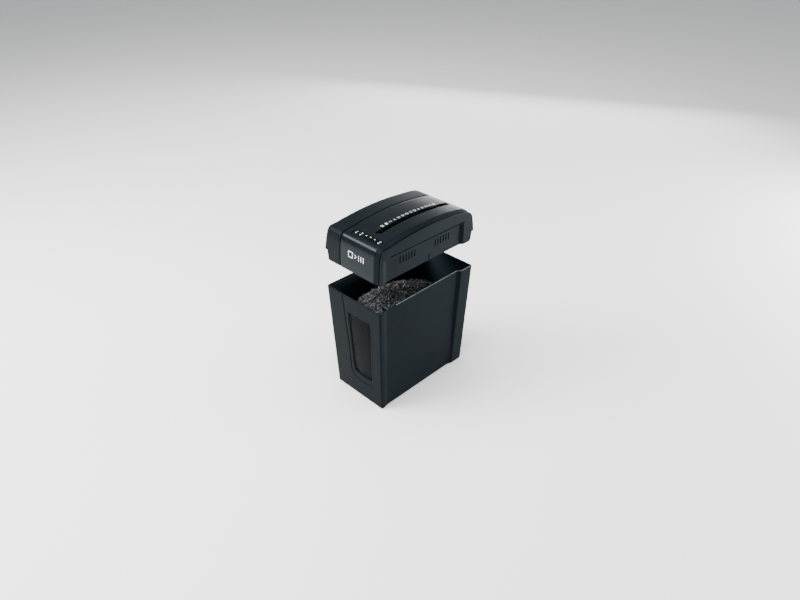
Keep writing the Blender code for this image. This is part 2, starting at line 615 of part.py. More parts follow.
# ---- cutting block -------------------------------------------------------------------------------
def make_rollers():
    """Two cutter rollers: discs on a core, staggered so that they pass between each other."""
    first = (PAPER_FRONT + PAPER_REAR) / 2 - DISC_PITCH * (DISC_COUNT - 1) / 2
    ends = {"a": (FRONT_PLATE_Y - 3, 152.0), "b": (FRONT_PLATE_Y - 3, 139.0)}
    shift = {"a": -DISC_PITCH / 4, "b": DISC_PITCH / 4}
    for side in "ab":
        centres = [first + shift[side] + DISC_PITCH * k for k in range(DISC_COUNT)]
        start, end = ends[side]
        core_front, core_rear = FRONT_PLATE_Y + PLATE + 6, REAR_PLATE_Y - 4
        down = [(0, end), (SHAFT_RADIUS, end), (SHAFT_RADIUS, core_rear), (CORE_RADIUS, core_rear)]
        for centre in reversed(centres):
            high, low = centre + DISC_THICKNESS / 2, centre - DISC_THICKNESS / 2
            down += [(CORE_RADIUS, high), (DISC_RADIUS, high), (DISC_RADIUS, low), (CORE_RADIUS, low)]
        down += [(CORE_RADIUS, core_front), (SHAFT_RADIUS, core_front), (SHAFT_RADIUS, start), (0, start)]
        at = (ROLLER_X[side], 0, HEAD_Z + ROLLER_H)
        turned(f"cutter_roller_{side}", down, DARK_STEEL, at, ALONG_Y, steps=12)
        make_comb(side, [c + DISC_PITCH / 2 for c in centres[:-1]])


def make_comb(side, gaps):
    """Stripper comb: a bar beside a roller whose fingers reach in between its discs."""
    sign = -1 if side == "a" else 1
    finger_tip, bar_in, bar_out = CORE_RADIUS + 1.0, DISC_RADIUS + 2.0, DISC_RADIUS + 7.0
    front, rear = FRONT_PLATE_Y + PLATE + GAP, REAR_PLATE_Y - GAP
    half = (DISC_PITCH - DISC_THICKNESS) / 2 - 0.8
    outline = [(bar_out, front), (bar_out, rear), (bar_in, rear)]
    for y in reversed(gaps):
        outline += [(bar_in, y + half), (finger_tip, y + half), (finger_tip, y - half), (bar_in, y - half)]
    outline.append((bar_in, front))
    outline = [(sign * u, v) for u, v in outline]
    prism(f"stripper_comb_{side}", [outline], 5.0, NYLON, (ROLLER_X[side], 0, HEAD_Z + ROLLER_H))


def make_cutting_frame():
    """Steel side plates with bushes, tied together by four rods."""
    mid = HEAD_Z + ROLLER_H
    holes = [circle(ROLLER_X[s], mid, 8.3) for s in "ab"]
    front_corners = [(-8, HEAD_Z + 4), (74, HEAD_Z + 4), (74, HEAD_Z + 76), (-8, HEAD_Z + 76)]
    rear_corners = [(-78, HEAD_Z + 4), (74, HEAD_Z + 4), (74, HEAD_Z + 76), (-78, HEAD_Z + 76)]
    front = prism("front_side_plate", [rounded(front_corners, [3.0] * 4), *holes], PLATE, STEEL,
                  (0, FRONT_PLATE_Y + PLATE / 2, 0), FACING_Y)
    shaft_hole = circle(MOTOR_X, HEAD_Z + MOTOR_H, 4.0, 12)
    axle_holes = [circle(x, HEAD_Z + h, AXLE_RADIUS + GAP, 12) for x, h in (FIRST_AXIS, SECOND_AXIS)]
    rear_outlines = [rounded(rear_corners, [3.0] * 4), *holes, shaft_hole, *axle_holes]
    rear = prism("rear_side_plate", rear_outlines, PLATE, STEEL, (0, REAR_PLATE_Y + PLATE / 2, 0), FACING_Y)
    for plate in (front, rear):
        smooth(plate, 30)
    for side in "ab":
        at = (ROLLER_X[side], 0, mid)
        rod(f"front_bush_{side}", 8.0, FRONT_PLATE_Y - 1, FRONT_PLATE_Y + 7, BRONZE, at, ALONG_Y,
            bore=SHAFT_RADIUS + GAP)
        rod(f"rear_bush_{side}", 8.0, REAR_PLATE_Y - 3, REAR_PLATE_Y + PLATE + 0.8, BRONZE, at, ALONG_Y,
            bore=SHAFT_RADIUS + GAP)
    start, end = FRONT_PLATE_Y + PLATE + GAP, REAR_PLATE_Y - GAP
    for i, (x, h) in enumerate(((2, 69), (62, 69), (-1, 12), (66, 12)), start=1):
        rod(f"tie_rod_{i}", 3.0, start, end, STEEL, in_head(x, 0, h), ALONG_Y, steps=12)


# ---- gear train ----------------------------------------------------------------------------------
def mesh_radius(name_module, *names):
    """Distance between the axes of two gears that share a module."""
    return MODULE[name_module] * sum(TEETH[n] for n in names) / 2


def third_corner(start, end, from_start, from_end, side):
    """The point at given distances from two others, on the chosen side of their line."""
    a, b = Vector(start), Vector(end)
    span = (b - a).length
    along = (from_start ** 2 - from_end ** 2 + span ** 2) / (2 * span)
    across = math.sqrt(from_start ** 2 - along ** 2)
    unit = (b - a) / span
    point = a + unit * along + Vector((-unit.y, unit.x)) * across * side
    return tuple(point)


MOTOR_AXIS = (MOTOR_X, MOTOR_H)
ROLLER_A_AXIS = (ROLLER_X["a"], ROLLER_H)
SECOND_ANGLE = math.radians(200)
SECOND_REACH = mesh_radius("second", "second_small", "drive")
SECOND_AXIS = (ROLLER_A_AXIS[0] + SECOND_REACH * math.cos(SECOND_ANGLE),
               ROLLER_A_AXIS[1] + SECOND_REACH * math.sin(SECOND_ANGLE))
FIRST_AXIS = third_corner(MOTOR_AXIS, SECOND_AXIS, mesh_radius("pinion", "pinion", "first_large"),
                          mesh_radius("first", "first_small", "second_large"), 1)


def line_angle(start, end):
    """Angle of the line from one axis to another."""
    return math.atan2(end[1] - start[1], end[0] - start[0])


def meshed_phase(teeth_a, phase_a, teeth_b, angle):
    """Turn of gear B so that its gaps meet gear A's teeth along the line at the given angle."""
    pitch_a, pitch_b = 2 * math.pi / teeth_a, 2 * math.pi / teeth_b
    part = ((angle - phase_a) / pitch_a) % 1.0
    return angle + math.pi - (0.5 - part) * pitch_b


def gear_outline(teeth, module, phase):
    """Trapezoidal teeth with generous backlash, centred on the phase angle."""
    pitch_radius = module * teeth / 2
    tip, root = pitch_radius + 0.72 * module, pitch_radius - 1.05 * module
    pitch = 2 * math.pi / teeth
    half_root, half_tip = 0.27 * pitch, 0.105 * pitch
    outline = []
    for k in range(teeth):
        centre = phase + k * pitch
        for offset, radius in ((-half_root, root), (-half_tip, tip), (half_tip, tip), (half_root, root)):
            outline.append((radius * math.cos(centre + offset), radius * math.sin(centre + offset)))
    return outline


def gear(name, teeth, module, phase, axis, layer, finish=None, bore=0.0, spread=0.0):
    """A spur gear in one layer of the train; its axis runs along Y."""
    low, high = layer
    outlines = [gear_outline(teeth, module, phase)]
    if bore:
        outlines.append(circle(0, 0, bore, 16))
    at = in_head(axis[0], (low + high - spread) / 2, axis[1])
    return prism(name, outlines, high - low + spread, finish, at, FACING_Y)


def make_gear_train():
    """Rotor with its pinion, two stepped reduction gears, the drive gear and the equal roller gears."""
    pinion_phase = line_angle(MOTOR_AXIS, FIRST_AXIS)
    first_phase = meshed_phase(TEETH["pinion"], pinion_phase, TEETH["first_large"], pinion_phase)
    second_phase = meshed_phase(TEETH["first_small"], first_phase, TEETH["second_large"],
                                line_angle(FIRST_AXIS, SECOND_AXIS))
    drive_phase = meshed_phase(TEETH["second_small"], second_phase, TEETH["drive"],
                               line_angle(SECOND_AXIS, ROLLER_A_AXIS))
    follower_phase = meshed_phase(TEETH["roller"], 0.0, TEETH["roller"], 0.0)
    layers = GEAR_LAYERS

    rotor_profile = [(0, 137.5), (ROTOR_RADIUS, 137.5), (ROTOR_RADIUS, 14.0), (0, 14.0)]
    rotor = turned("motor_rotor", rotor_profile, DARK_STEEL, (MOTOR_X, 0, HEAD_Z + MOTOR_H), ALONG_Y)
    pinion = gear("cut_pinion", TEETH["pinion"], MODULE["pinion"], pinion_phase, MOTOR_AXIS, layers["a"])
    boolean(rotor, pinion, "UNION")
    trains = (("first", "pinion", first_phase, FIRST_AXIS, "a", "b"),
              ("second", "first", second_phase, SECOND_AXIS, "b", "c"))
    for name, large_module, phase, axis, near, far in trains:
        large, small = TEETH[f"{name}_large"], TEETH[f"{name}_small"]
        wheel = gear(f"{name}_gear", large, MODULE[large_module], phase, axis, layers[near], NYLON)
        step = gear(f"cut_{name}_gear", small, MODULE[name], phase, axis, layers[far], spread=1.5)
        boolean(wheel, step, "UNION")
        at = in_head(axis[0], 0, axis[1])
        boolean(wheel, rod(f"cut_{name}_gear_bore", AXLE_RADIUS + GAP, 120, 160, None, at, ALONG_Y))
    bore = SHAFT_RADIUS + GAP
    gear("drive_gear", TEETH["drive"], MODULE["second"], drive_phase, ROLLER_A_AXIS, layers["c"], NYLON, bore)
    for side, phase in (("a", 0.0), ("b", follower_phase)):
        axis = (ROLLER_X[side], ROLLER_H)
        name = f"roller_gear_{side}"
        gear(name, TEETH["roller"], MODULE["roller"], phase, axis, layers["a"], STEEL, bore)
    for name, axis in (("first_axle", FIRST_AXIS), ("second_axle", SECOND_AXIS)):
        at = in_head(axis[0], 0, axis[1])
        rod(name, AXLE_RADIUS, REAR_PLATE_Y - 2, 155.5, STEEL, at, ALONG_Y, steps=12)
    holes = [circle(x, HEAD_Z + h, AXLE_RADIUS + GAP, 12) for x, h in (FIRST_AXIS, SECOND_AXIS)]
    corners = [(-50, HEAD_Z + 29.5), (40, HEAD_Z + 29.5), (40, HEAD_Z + 59), (-50, HEAD_Z + 59)]
    outlines = [rounded(corners, [6.0] * 4), *holes]
    cover = prism("gear_cover", outlines, 1.4, PLASTIC_INNER, (0, 153.3, 0), FACING_Y)
    smooth(cover, 30)


# ---- motor and electrics -------------------------------------------------------------------------
def make_motor():
    """Motor can, fan and cradle, and the boards, capacitor and relay beside them."""
    axis = (MOTOR_X, 0, HEAD_Z + MOTOR_H)
    bore = ROTOR_RADIUS + GAP
    can = [(bore, MOTOR_REAR), (11, MOTOR_REAR), (11, MOTOR_REAR - 3), (MOTOR_RADIUS - 2, MOTOR_REAR - 3),
           (MOTOR_RADIUS, MOTOR_REAR - 5), (MOTOR_RADIUS, MOTOR_FRONT + 3), (MOTOR_RADIUS - 3, MOTOR_FRONT),
           (bore, MOTOR_FRONT)]
    turned("motor_can", can, STEEL, axis, ALONG_Y, steps=24)
    blades = []
    for k in range(7):
        centre = 2 * math.pi * k / 7
        for offset, radius in ((-0.36, 7), (-0.26, 19.5), (0.14, 19.5), (0.20, 7)):
            blades.append((radius * math.cos(centre + offset), radius * math.sin(centre + offset)))
    fan = [blades, circle(0, 0, bore, 12)]
    prism("cooling_fan", fan, 8.0, NYLON, in_head(MOTOR_X, 22, MOTOR_H), FACING_Y)
    cradle = box("motor_cradle", in_head(MOTOR_X - 17, 56, 2.5), in_head(MOTOR_X + 17, 96, 36), PLASTIC_INNER)
    boolean(cradle, rod("cut_cradle", MOTOR_RADIUS + GAP + 0.2, 50, 100, None, axis, ALONG_Y, steps=24))
    top = MOTOR_H + MOTOR_RADIUS
    rod("thermal_cutout", 6.0, HEAD_Z + top + GAP, HEAD_Z + top + 5, BRONZE, (MOTOR_X, 70, 0), steps=12)
    box("main_board", (-80, -128, HEAD_Z + 10), (-30, -20, HEAD_Z + 11.6), BOARD_GREEN)
    rod("motor_capacitor", 9.0, -80, -42, SIGNAL_WHITE, (-62, 0, HEAD_Z + 21.2), ALONG_Y)
    box("power_relay", (-48, -112, HEAD_Z + 11.9), (-34, -88, HEAD_Z + 27), PLASTIC_INNER)


def make_sensors():
    """Paper sensor lever in the throat and the plunger that feels the bin."""
    arm = rounded([(-2.5, -2.5), (12.5, -1.2), (12.5, 1.2), (-2.5, 2.5)], [2.0, 1.0, 1.0, 2.0], steps=3)
    pivot = in_head(LEVER_X, LEVER_Y, LEVER_H)
    axis = in_head(LEVER_X, 0, LEVER_H)
    lever = prism("paper_lever", [arm], 2.4, NYLON, pivot, FACING_Y)
    pin = rod("cut_lever_pin", 1.2, LEVER_Y - 4.5, LEVER_Y + 4.5, None, axis, ALONG_Y, steps=12)
    boolean(lever, pin, "UNION")
    low, high = in_head(LEVER_X - 10, LEVER_Y - 7, 66), in_head(LEVER_X + 4, LEVER_Y + 7, 84)
    switch = box("sensor_switch", low, high, PLASTIC_INNER)
    low, high = in_head(LEVER_X - 4.5, LEVER_Y - 1.6, 60), in_head(LEVER_X + 8, LEVER_Y + 1.6, 88)
    boolean(switch, box("cut_lever_slot", low, high))
    hole = rod("cut_lever_hole", 1.6, LEVER_Y - 5, LEVER_Y + 5, None, axis, ALONG_Y, steps=12)
    boolean(switch, hole)
    x, y, _ = PLUNGER_XY
    low, high = in_head(x - 8, y - 6, SAFETY_H - 6), in_head(x + 8, y + 6, SAFETY_H + 10)
    body = box("safety_switch", low, high, PLASTIC_INNER)
    boolean(body, rod("cut_plunger_bore", 2.4, HEAD_Z, HEAD_Z + SAFETY_H + 6, None, (x, y, 0), steps=12))
    rod("safety_plunger", 2.0, HEAD_Z - PLUNGER_REACH, HEAD_Z + SAFETY_H + 1, NYLON, (x, y, 0), steps=12)


def make_controls():
    """Control strip: plate with a slide switch and three lenses, and the board below it."""
    plate = strip_prism("control_strip", GAP, 1.6, PLASTIC_DARK, drop=1.4)
    cy = sum(STRIP_Y) / 2
    tilt = math.atan(-cy / ARCH_RADIUS)
    surface_h = arch(cy)

    def above_strip(x, dy, lift):
        """A place on the strip, lift millimetres above the arch, measured square to it."""
        local = Euler((tilt, 0, 0)).to_matrix() @ Vector((0, dy, lift))
        return (x, cy + local.y, HEAD_Z + surface_h + local.z)

    def centred(half_x, half_y, radius):
        corners = [(-half_x, -half_y), (half_x, -half_y), (half_x, half_y), (-half_x, half_y)]
        return [rounded(corners, [radius] * 4)]

    turn = (tilt, 0, 0)
    slot = prism("cut_knob_slot", centred(12, 2, 1.0), 8.0, None, above_strip(KNOB_X, -1.0, 0), turn)
    boolean(plate, slot)
    stem_place = above_strip(KNOB_X, -1.0, -3.0)
    stem = prism("mode_slider", centred(2.5, 1.6, 0.6), 8.0, PLASTIC_INNER, stem_place, turn)
    grip = prism("cut_knob_grip", centred(5, 3, 1.0), 1.8, None, above_strip(KNOB_X, -1.0, 0.7), turn)
    boolean(stem, grip, "UNION")
    low, high = in_head(KNOB_X - 15, cy - 8, 74.6), in_head(KNOB_X + 15, cy + 6, 79.0)
    body = box("mode_switch", low, high, PLASTIC_INNER)
    bevel(body, 0.6, 1)
    for i, x in enumerate(LENS_PLACES, start=1):
        spot = above_strip(x, -1.0, -0.3)
        boolean(plate, rod(f"cut_lens_{i}", 2.3, -6, 6, None, spot, (tilt, 0, 0), steps=12))
        rod(f"indicator_lens_{i}", LENS_RADIUS, -3.0, 0.2, SIGNAL_WHITE, spot, (tilt, 0, 0), steps=12)
    low, high = in_head(STRIP_X[0] + 2, -158, 72.6), in_head(STRIP_X[1] - 14, -120, 74.2)
    box("control_board", low, high, BOARD_GREEN)


make_bin()
make_shreds()
make_left_cover()
make_top_cover()
make_shoulder_trim()
make_right_cover()
make_tray()
make_head_fittings()
make_throat_guide()
make_rollers()
make_cutting_frame()
make_gear_train()
make_motor()
make_sensors()
make_controls()
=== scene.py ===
# %% [markdown]
# # A personal paper shredder
# The frame holds every working part at full size: bin, head, rollers, gears and controls. This
# notebook gives that frame its looks. The big mouldings are drawn again as smooth numpy surfaces, the
# heap becomes thousands of cut bits of paper, and every finish is a small network of shader nodes.

# %% Load the frame
import math

import bmesh
import bpy
import numpy as np
from mathutils import Matrix, Vector


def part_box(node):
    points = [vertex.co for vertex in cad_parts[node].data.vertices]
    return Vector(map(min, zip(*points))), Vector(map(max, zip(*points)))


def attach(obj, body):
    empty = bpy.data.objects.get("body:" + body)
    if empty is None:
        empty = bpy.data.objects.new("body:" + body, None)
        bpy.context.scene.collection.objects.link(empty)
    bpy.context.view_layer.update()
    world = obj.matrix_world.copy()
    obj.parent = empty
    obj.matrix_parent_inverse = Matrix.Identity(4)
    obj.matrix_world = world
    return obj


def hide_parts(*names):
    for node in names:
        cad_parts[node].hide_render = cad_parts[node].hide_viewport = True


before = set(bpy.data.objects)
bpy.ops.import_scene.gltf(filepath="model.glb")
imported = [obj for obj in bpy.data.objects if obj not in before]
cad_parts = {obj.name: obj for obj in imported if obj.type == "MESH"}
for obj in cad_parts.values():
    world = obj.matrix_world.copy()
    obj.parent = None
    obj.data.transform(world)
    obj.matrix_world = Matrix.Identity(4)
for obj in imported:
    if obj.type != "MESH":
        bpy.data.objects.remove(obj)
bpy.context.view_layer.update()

MM = 0.001

# %% [markdown]
# ## Driving sizes
# Lengths are in millimetres. Where a size belongs to the frame it is read from a node's box, so the new
# surfaces always land on the parts that they cover. The rest are the moulder's own radii and gaps.

# %% Sizes
def span(node):
    """Lowest and highest corner of a frame node, in millimetres."""
    low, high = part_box(node)
    return np.array(low) / MM, np.array(high) / MM


BIN_LOW, BIN_HIGH = span("bin_body")
COVER_LOW, COVER_HIGH = span("top_cover")
HALF_X, HALF_Y, BIN_HEIGHT = BIN_HIGH[0], BIN_HIGH[1], BIN_HIGH[2]
BIN_TAPER_X, BIN_TAPER_Y, BIN_WALL = 10.5, 11.5, 2.5
HEAD_Z = COVER_LOW[2]
INK_ROOM = 0.08
CROWN = COVER_HIGH[2] - HEAD_Z - INK_ROOM
ARCH_RADIUS = 764.0
COVER_WALL = 2.4
REAR_LIP = 25.5
LEFT_SEAM, SHOULDER_SEAM, PANEL_SEAM = -39.0, 78.0, 93.0
SEAM_GAP = 3.2
SHOULDER_DROP = 3.0
SLOT_X, SLOT_FRONT, SLOT_REAR, SLOT_WIDTH = 32.0, -112.0, 131.0, 12.5
print("bin", BIN_HIGH.round(1), "head from", round(HEAD_Z, 1), "with a crown of", round(CROWN, 1))

# %% [markdown]
# ## From arrays to a mesh
# A surface here is a grid of points: rows along one parameter, columns along the other. The helper below
# numbers the quads of such a grid in whole arrays. A `Skin` gathers several grids, closes their ends and
# becomes one object, whose doubles are merged so that the seams are shut.

# %% Grids of quads
def quads(rows, cols, wrap_rows=False, wrap_cols=False):
    """Corner numbers of the quads between neighbouring rows and columns; a wrap joins last to first."""
    r = np.arange(rows if wrap_rows else rows - 1)[:, None]
    c = np.arange(cols if wrap_cols else cols - 1)[None, :]
    next_r, next_c = (r + 1) % rows, (c + 1) % cols
    corners = (r * cols + c, r * cols + next_c, next_r * cols + next_c, next_r * cols + c)
    return np.stack(np.broadcast_arrays(*corners), -1).reshape(-1, 4)


class Skin:
    """Collects grids of points, in millimetres, and the single faces that cap them."""

    def __init__(self):
        self.points, self.faces, self.count = [], [], 0

    def grid(self, points, wrap_rows=False, wrap_cols=False):
        rows, cols = points.shape[:2]
        self.faces += (quads(rows, cols, wrap_rows, wrap_cols) + self.count).tolist()
        self.points.append(points.reshape(-1, 3))
        index = np.arange(rows * cols).reshape(rows, cols) + self.count
        self.count += rows * cols
        return index

    def cap(self, ring):
        self.faces.append([int(i) for i in ring])

    def tube(self, points):
        """Closed rings of points, capped at the first and at the last."""
        ring = self.grid(points, wrap_cols=True)
        self.cap(ring[0])
        self.cap(ring[-1])
        return self

    def mesh(self, name, merge=1e-6):
        mesh = bpy.data.meshes.new(name)
        mesh.from_pydata((np.concatenate(self.points) * MM).tolist(), [], self.faces)
        bm = bmesh.new()
        bm.from_mesh(mesh)
        bmesh.ops.remove_doubles(bm, verts=bm.verts, dist=merge)
        bmesh.ops.dissolve_degenerate(bm, edges=bm.edges, dist=merge)
        bmesh.ops.recalc_face_normals(bm, faces=bm.faces)
        bm.to_mesh(mesh)
        bm.free()
        return mesh


print("3 by 4 points give", len(quads(3, 4)), "quads, or", len(quads(3, 4, wrap_cols=True)), "with a wrap")

# %% Pieces and cuts
CREASE = 32


def shade(mesh, angle):
    """Smooth shading with creases where faces meet at more than the angle."""
    mesh.shade_smooth()
    mesh.set_sharp_from_angle(angle=math.radians(angle))


def placed(name, data):
    """A new object in the scene."""
    obj = bpy.data.objects.new(name, data)
    bpy.context.scene.collection.objects.link(obj)
    return obj


def piece(name, skin, finish, body, replaces=(), crease=CREASE):
    """One finished object at the origin, riding on its body."""
    mesh = skin if isinstance(skin, bpy.types.Mesh) else skin.mesh(name)
    shade(mesh, crease)
    obj = placed(name, mesh)
    if not mesh.materials:
        mesh.materials.append(finish)
    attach(obj, body)
    if replaces:
        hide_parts(*replaces)
    print(name, len(mesh.polygons), "faces")
    return obj


def cut(mesh, tools, operation="DIFFERENCE", finish=None, cut_finish=None):
    """A mesh with closed meshes taken from it, or joined to it; the cut faces may take a second finish."""
    if cut_finish:
        mesh.materials.append(finish)
    worked = placed("worked", mesh)
    helpers = []
    for tool in tools:
        helper = placed("tool", tool)
        modifier = worked.modifiers.new("cut", "BOOLEAN")
        modifier.operation, modifier.object = operation, helper
        if cut_finish:
            tool.materials.append(cut_finish)
            modifier.material_mode = "TRANSFER"
        helpers.append(helper)
    result = bpy.data.meshes.new_from_object(worked.evaluated_get(bpy.context.evaluated_depsgraph_get()))
    for helper in [worked, *helpers]:
        bpy.data.objects.remove(helper)
    return result


print("edges stay hard above", CREASE, "degrees, unless a piece asks for another angle")

# %% [markdown]
# ## Outlines
# Most edges on a moulding are arcs. `rounded` turns corner points into an outline with arcs, `along` gives
# its outward directions, and `smooth_line` threads a curve through a few given points. A rounded
# edge is drawn with the angles that `quarter` gives.

# %% Outlines and curves
def rounded(corners, radii, steps=8):
    """Anticlockwise corner points joined by straight runs, with an arc of the given radius at each one."""
    corners = np.array(corners, float)
    outline = []
    for i, radius in enumerate(radii):
        here = corners[i]
        back, ahead = corners[i - 1] - here, corners[(i + 1) % len(corners)] - here
        back, ahead = back / np.linalg.norm(back), ahead / np.linalg.norm(ahead)
        half = math.acos(np.clip(back @ ahead, -1, 1)) / 2
        centre = here + (back + ahead) / np.linalg.norm(back + ahead) * radius / math.sin(half)
        start = here + back * radius / math.tan(half) - centre
        sweep = math.pi - 2 * half
        turn = np.linspace(0, sweep, steps + 1)
        cos, sin = np.cos(turn), np.sin(turn)
        outline.append(np.stack([centre[0] + start[0] * cos - start[1] * sin,
                                 centre[1] + start[0] * sin + start[1] * cos], -1))
    return np.concatenate(outline)


def rounded_box(low, high, radius, steps=8):
    """Rectangle between two corners, with the same arc at all four."""
    (x0, y0), (x1, y1) = low, high
    return rounded([(x0, y0), (x1, y0), (x1, y1), (x0, y1)], [radius] * 4, steps)


def quarter(count):
    """Angles from 0 to a quarter turn."""
    return np.linspace(0, math.pi / 2, count)


def unit(vectors):
    """Rows scaled to length 1."""
    return vectors / np.linalg.norm(vectors, axis=1, keepdims=True)


def along(outline):
    """Outward unit directions of a closed anticlockwise outline, from its neighbours on both sides."""
    tangent = np.roll(outline, -1, 0) - np.roll(outline, 1, 0)
    return unit(np.stack([tangent[:, 1], -tangent[:, 0]], -1))


def smooth_line(knots, count):
    """Catmull-Rom curve through the knots, read at equal steps of its own length."""
    knots = np.array(knots, float)
    padded = np.concatenate([2 * knots[:1] - knots[1:2], knots, 2 * knots[-1:] - knots[-2:-1]])
    t = np.linspace(0, 1, 12, endpoint=False)[None, :, None]
    a, b, c, d = (padded[i:len(padded) - 3 + i, None, :] for i in range(4))
    curve = 0.5 * (2 * b + (c - a) * t + (2 * a - 5 * b + 4 * c - d) * t ** 2
                   + (3 * b - a - 3 * c + d) * t ** 3)
    curve = np.concatenate([curve.reshape(-1, knots.shape[1]), knots[-1:]])
    length = np.concatenate([[0], np.cumsum(np.linalg.norm(np.diff(curve, axis=0), axis=1))])
    wanted = np.linspace(0, length[-1], count)
    return np.stack([np.interp(wanted, length, curve[:, k]) for k in range(knots.shape[1])], -1)


def ease(t):
    """Smooth step from 0 to 1."""
    t = np.clip(t, 0, 1)
    return t * t * (3 - 2 * t)


print("a rounded box has", len(rounded_box((0, 0), (10, 6), 2)), "points")

# %% [markdown]
# ## Shader maths as Python
# A `Wire` is one socket. Its operators add Math nodes, so a mask can be written as `1 - dust * 0.5`.
# A `Finish` is one material: its `node` method places any node by type, with settings first and socket
# values or links after.

# %% The Wire and Finish classes
class Wire:
    """A socket whose arithmetic becomes Math nodes."""

    def __init__(self, finish, socket):
        self.finish, self.socket = finish, socket

    def _math(self, operation, *values):
        return self.finish.node("ShaderNodeMath", {"operation": operation}, dict(enumerate(values)))

    def __add__(self, other):
        return self._math("ADD", self, other)

    def __sub__(self, other):
        return self._math("SUBTRACT", self, other)

    def __rsub__(self, other):
        return self._math("SUBTRACT", other, self)

    def __mul__(self, other):
        return self._math("MULTIPLY", self, other)

    def __gt__(self, other):
        return self._math("GREATER_THAN", self, other)

    __radd__, __rmul__ = __add__, __mul__

    def wave(self):
        return self._math("SINE", self)


class Finish:
    """A material with one Principled shader and a method that adds any other node."""

    def __init__(self, name):
        self.material = bpy.data.materials.new(name)
        self.material.use_nodes = True
        self.tree = self.material.node_tree
        self.shader = self.tree.nodes["Principled BSDF"]

    def node(self, kind, settings=None, inputs=None, output=0):
        node = self.tree.nodes.new(kind)
        for key, value in (settings or {}).items():
            if key == "stops":
                ramp = node.color_ramp
                while len(ramp.elements) < len(value):
                    ramp.elements.new(0.5)
                for element, (position, colour) in zip(ramp.elements, value):
                    element.position, element.color = position, (*colour, 1)
            else:
                setattr(node, key, value)
        for key, value in (inputs or {}).items():
            self.feed(node.inputs[key], value)
        return Wire(self, node.outputs[output])

    def feed(self, socket, value):
        if isinstance(value, Wire):
            self.tree.links.new(value.socket, socket)
        else:
            socket.default_value = value

    def place(self, scale=(1, 1, 1)):
        """Object coordinates, stretched along the axes when a pattern has a direction."""
        place = self.node("ShaderNodeTexCoord", output="Object")
        return self.node("ShaderNodeMapping", inputs={"Vector": place, "Scale": scale})

    def noise(self, scale, detail=2.0, stretch=(1, 1, 1), roughness=0.5):
        return self.node("ShaderNodeTexNoise", inputs={"Vector": self.place(stretch), "Scale": scale,
                                                        "Detail": detail, "Roughness": roughness})

    def cells(self, scale, stretch=(1, 1, 1), feature="F1"):
        return self.node("ShaderNodeTexVoronoi", {"feature": feature},
                         {"Vector": self.place(stretch), "Scale": scale})

    def mix(self, factor, first, second):
        """Blend of two colours."""
        mixed = self.node("ShaderNodeMix", {"data_type": "RGBA"}, {0: factor}, output=2)
        for slot_number, colour in ((6, first), (7, second)):
            value = colour if isinstance(colour, Wire) else (*colour, 1)
            self.feed(mixed.socket.node.inputs[slot_number], value)
        return mixed

    def axis(self, vector, index):
        """One component of a vector."""
        return self.node("ShaderNodeSeparateXYZ", inputs={0: vector}, output=index)

    def ramp(self, value, low, high, top=1.0):
        """A value that rises from 0 to top as the input goes from low to high."""
        return self.node("ShaderNodeMapRange", inputs={0: value, 1: low, 2: high, 3: 0.0, 4: top})

    def facing_up(self):
        """0 on walls to 1 on level faces, for dust."""
        return self.ramp(self.axis(self.node("ShaderNodeNewGeometry", output="Normal"), 2), 0.3, 1.0)

    def relief(self, height, strength, depth):
        bump = self.node("ShaderNodeBump", inputs={"Height": height, "Strength": strength, "Distance": depth})
        self.feed(self.shader.inputs["Normal"], bump)

    def wear(self, **sockets):
        """Sets the shader's sockets by name, with spaces written as underscores."""
        for name, value in sockets.items():
            if isinstance(value, tuple) and len(value) == 3:
                value = (*value, 1)
            self.feed(self.shader.inputs[name.replace("_", " ")], value)
        return self.material


print("a finish can:", ", ".join(name for name in vars(Finish) if not name.startswith("_")))

# %% [markdown]
# ## Moulded plastic
# A shredder's shells are usually ABS from a spark-eroded tool. The grain is a fine noise of under a
# millimetre, with slow changes in gloss where the plastic flowed, a little dust on what faces up, and
# faint scuffs.
# One function makes the head's plastics: the satin centre cover differs from the matte shells in its
# colour, gloss and depth of grain. The bin has its own, because it is a lighter blue-grey on its inner walls
# and carries a painted highlight along its right-hand rim. A cool tint on the highlights gives all of them
# their blue-black look.

# %% Plastics
COOL = (0.55, 0.80, 1.0)
GRAIN_SCALE = 1500.0
RIM_HIGHLIGHT_FROM, RIM_HIGHLIGHT_SIDE, RIM_HIGHLIGHT_START = 307.0, 80.0, -110.0


def moulded(name, colour, roughness, grain, dust=0.02, specular=0.5):
    """Moulded plastic: grain for relief, slow gloss changes, scuffs and dust on level faces."""
    finish = Finish(name)
    fine = finish.noise(GRAIN_SCALE, 3.0, roughness=0.7)
    slow = finish.noise(14.0, 2.0)
    scuffed = finish.ramp(finish.noise(90.0, 4.0, (1, 6, 1), 0.75), 0.58, 0.74)
    deep = tuple(c * 0.82 for c in colour)
    pale = tuple(c * 1.16 + 0.002 for c in colour)
    body = finish.mix(slow, deep, pale)
    specks = finish.ramp(finish.noise(420.0, 2.0), 0.62, 0.8)
    settled = finish.facing_up() * specks * dust
    colour_out = finish.mix(settled, body, (0.30, 0.30, 0.29))
    finish.relief(fine, 1.0, grain)
    rough = slow * 0.06 + (roughness - 0.03) + scuffed * 0.025 + settled * 0.3
    return finish.wear(Base_Color=colour_out, Roughness=rough, Specular_IOR_Level=specular,
                       Specular_Tint=COOL)


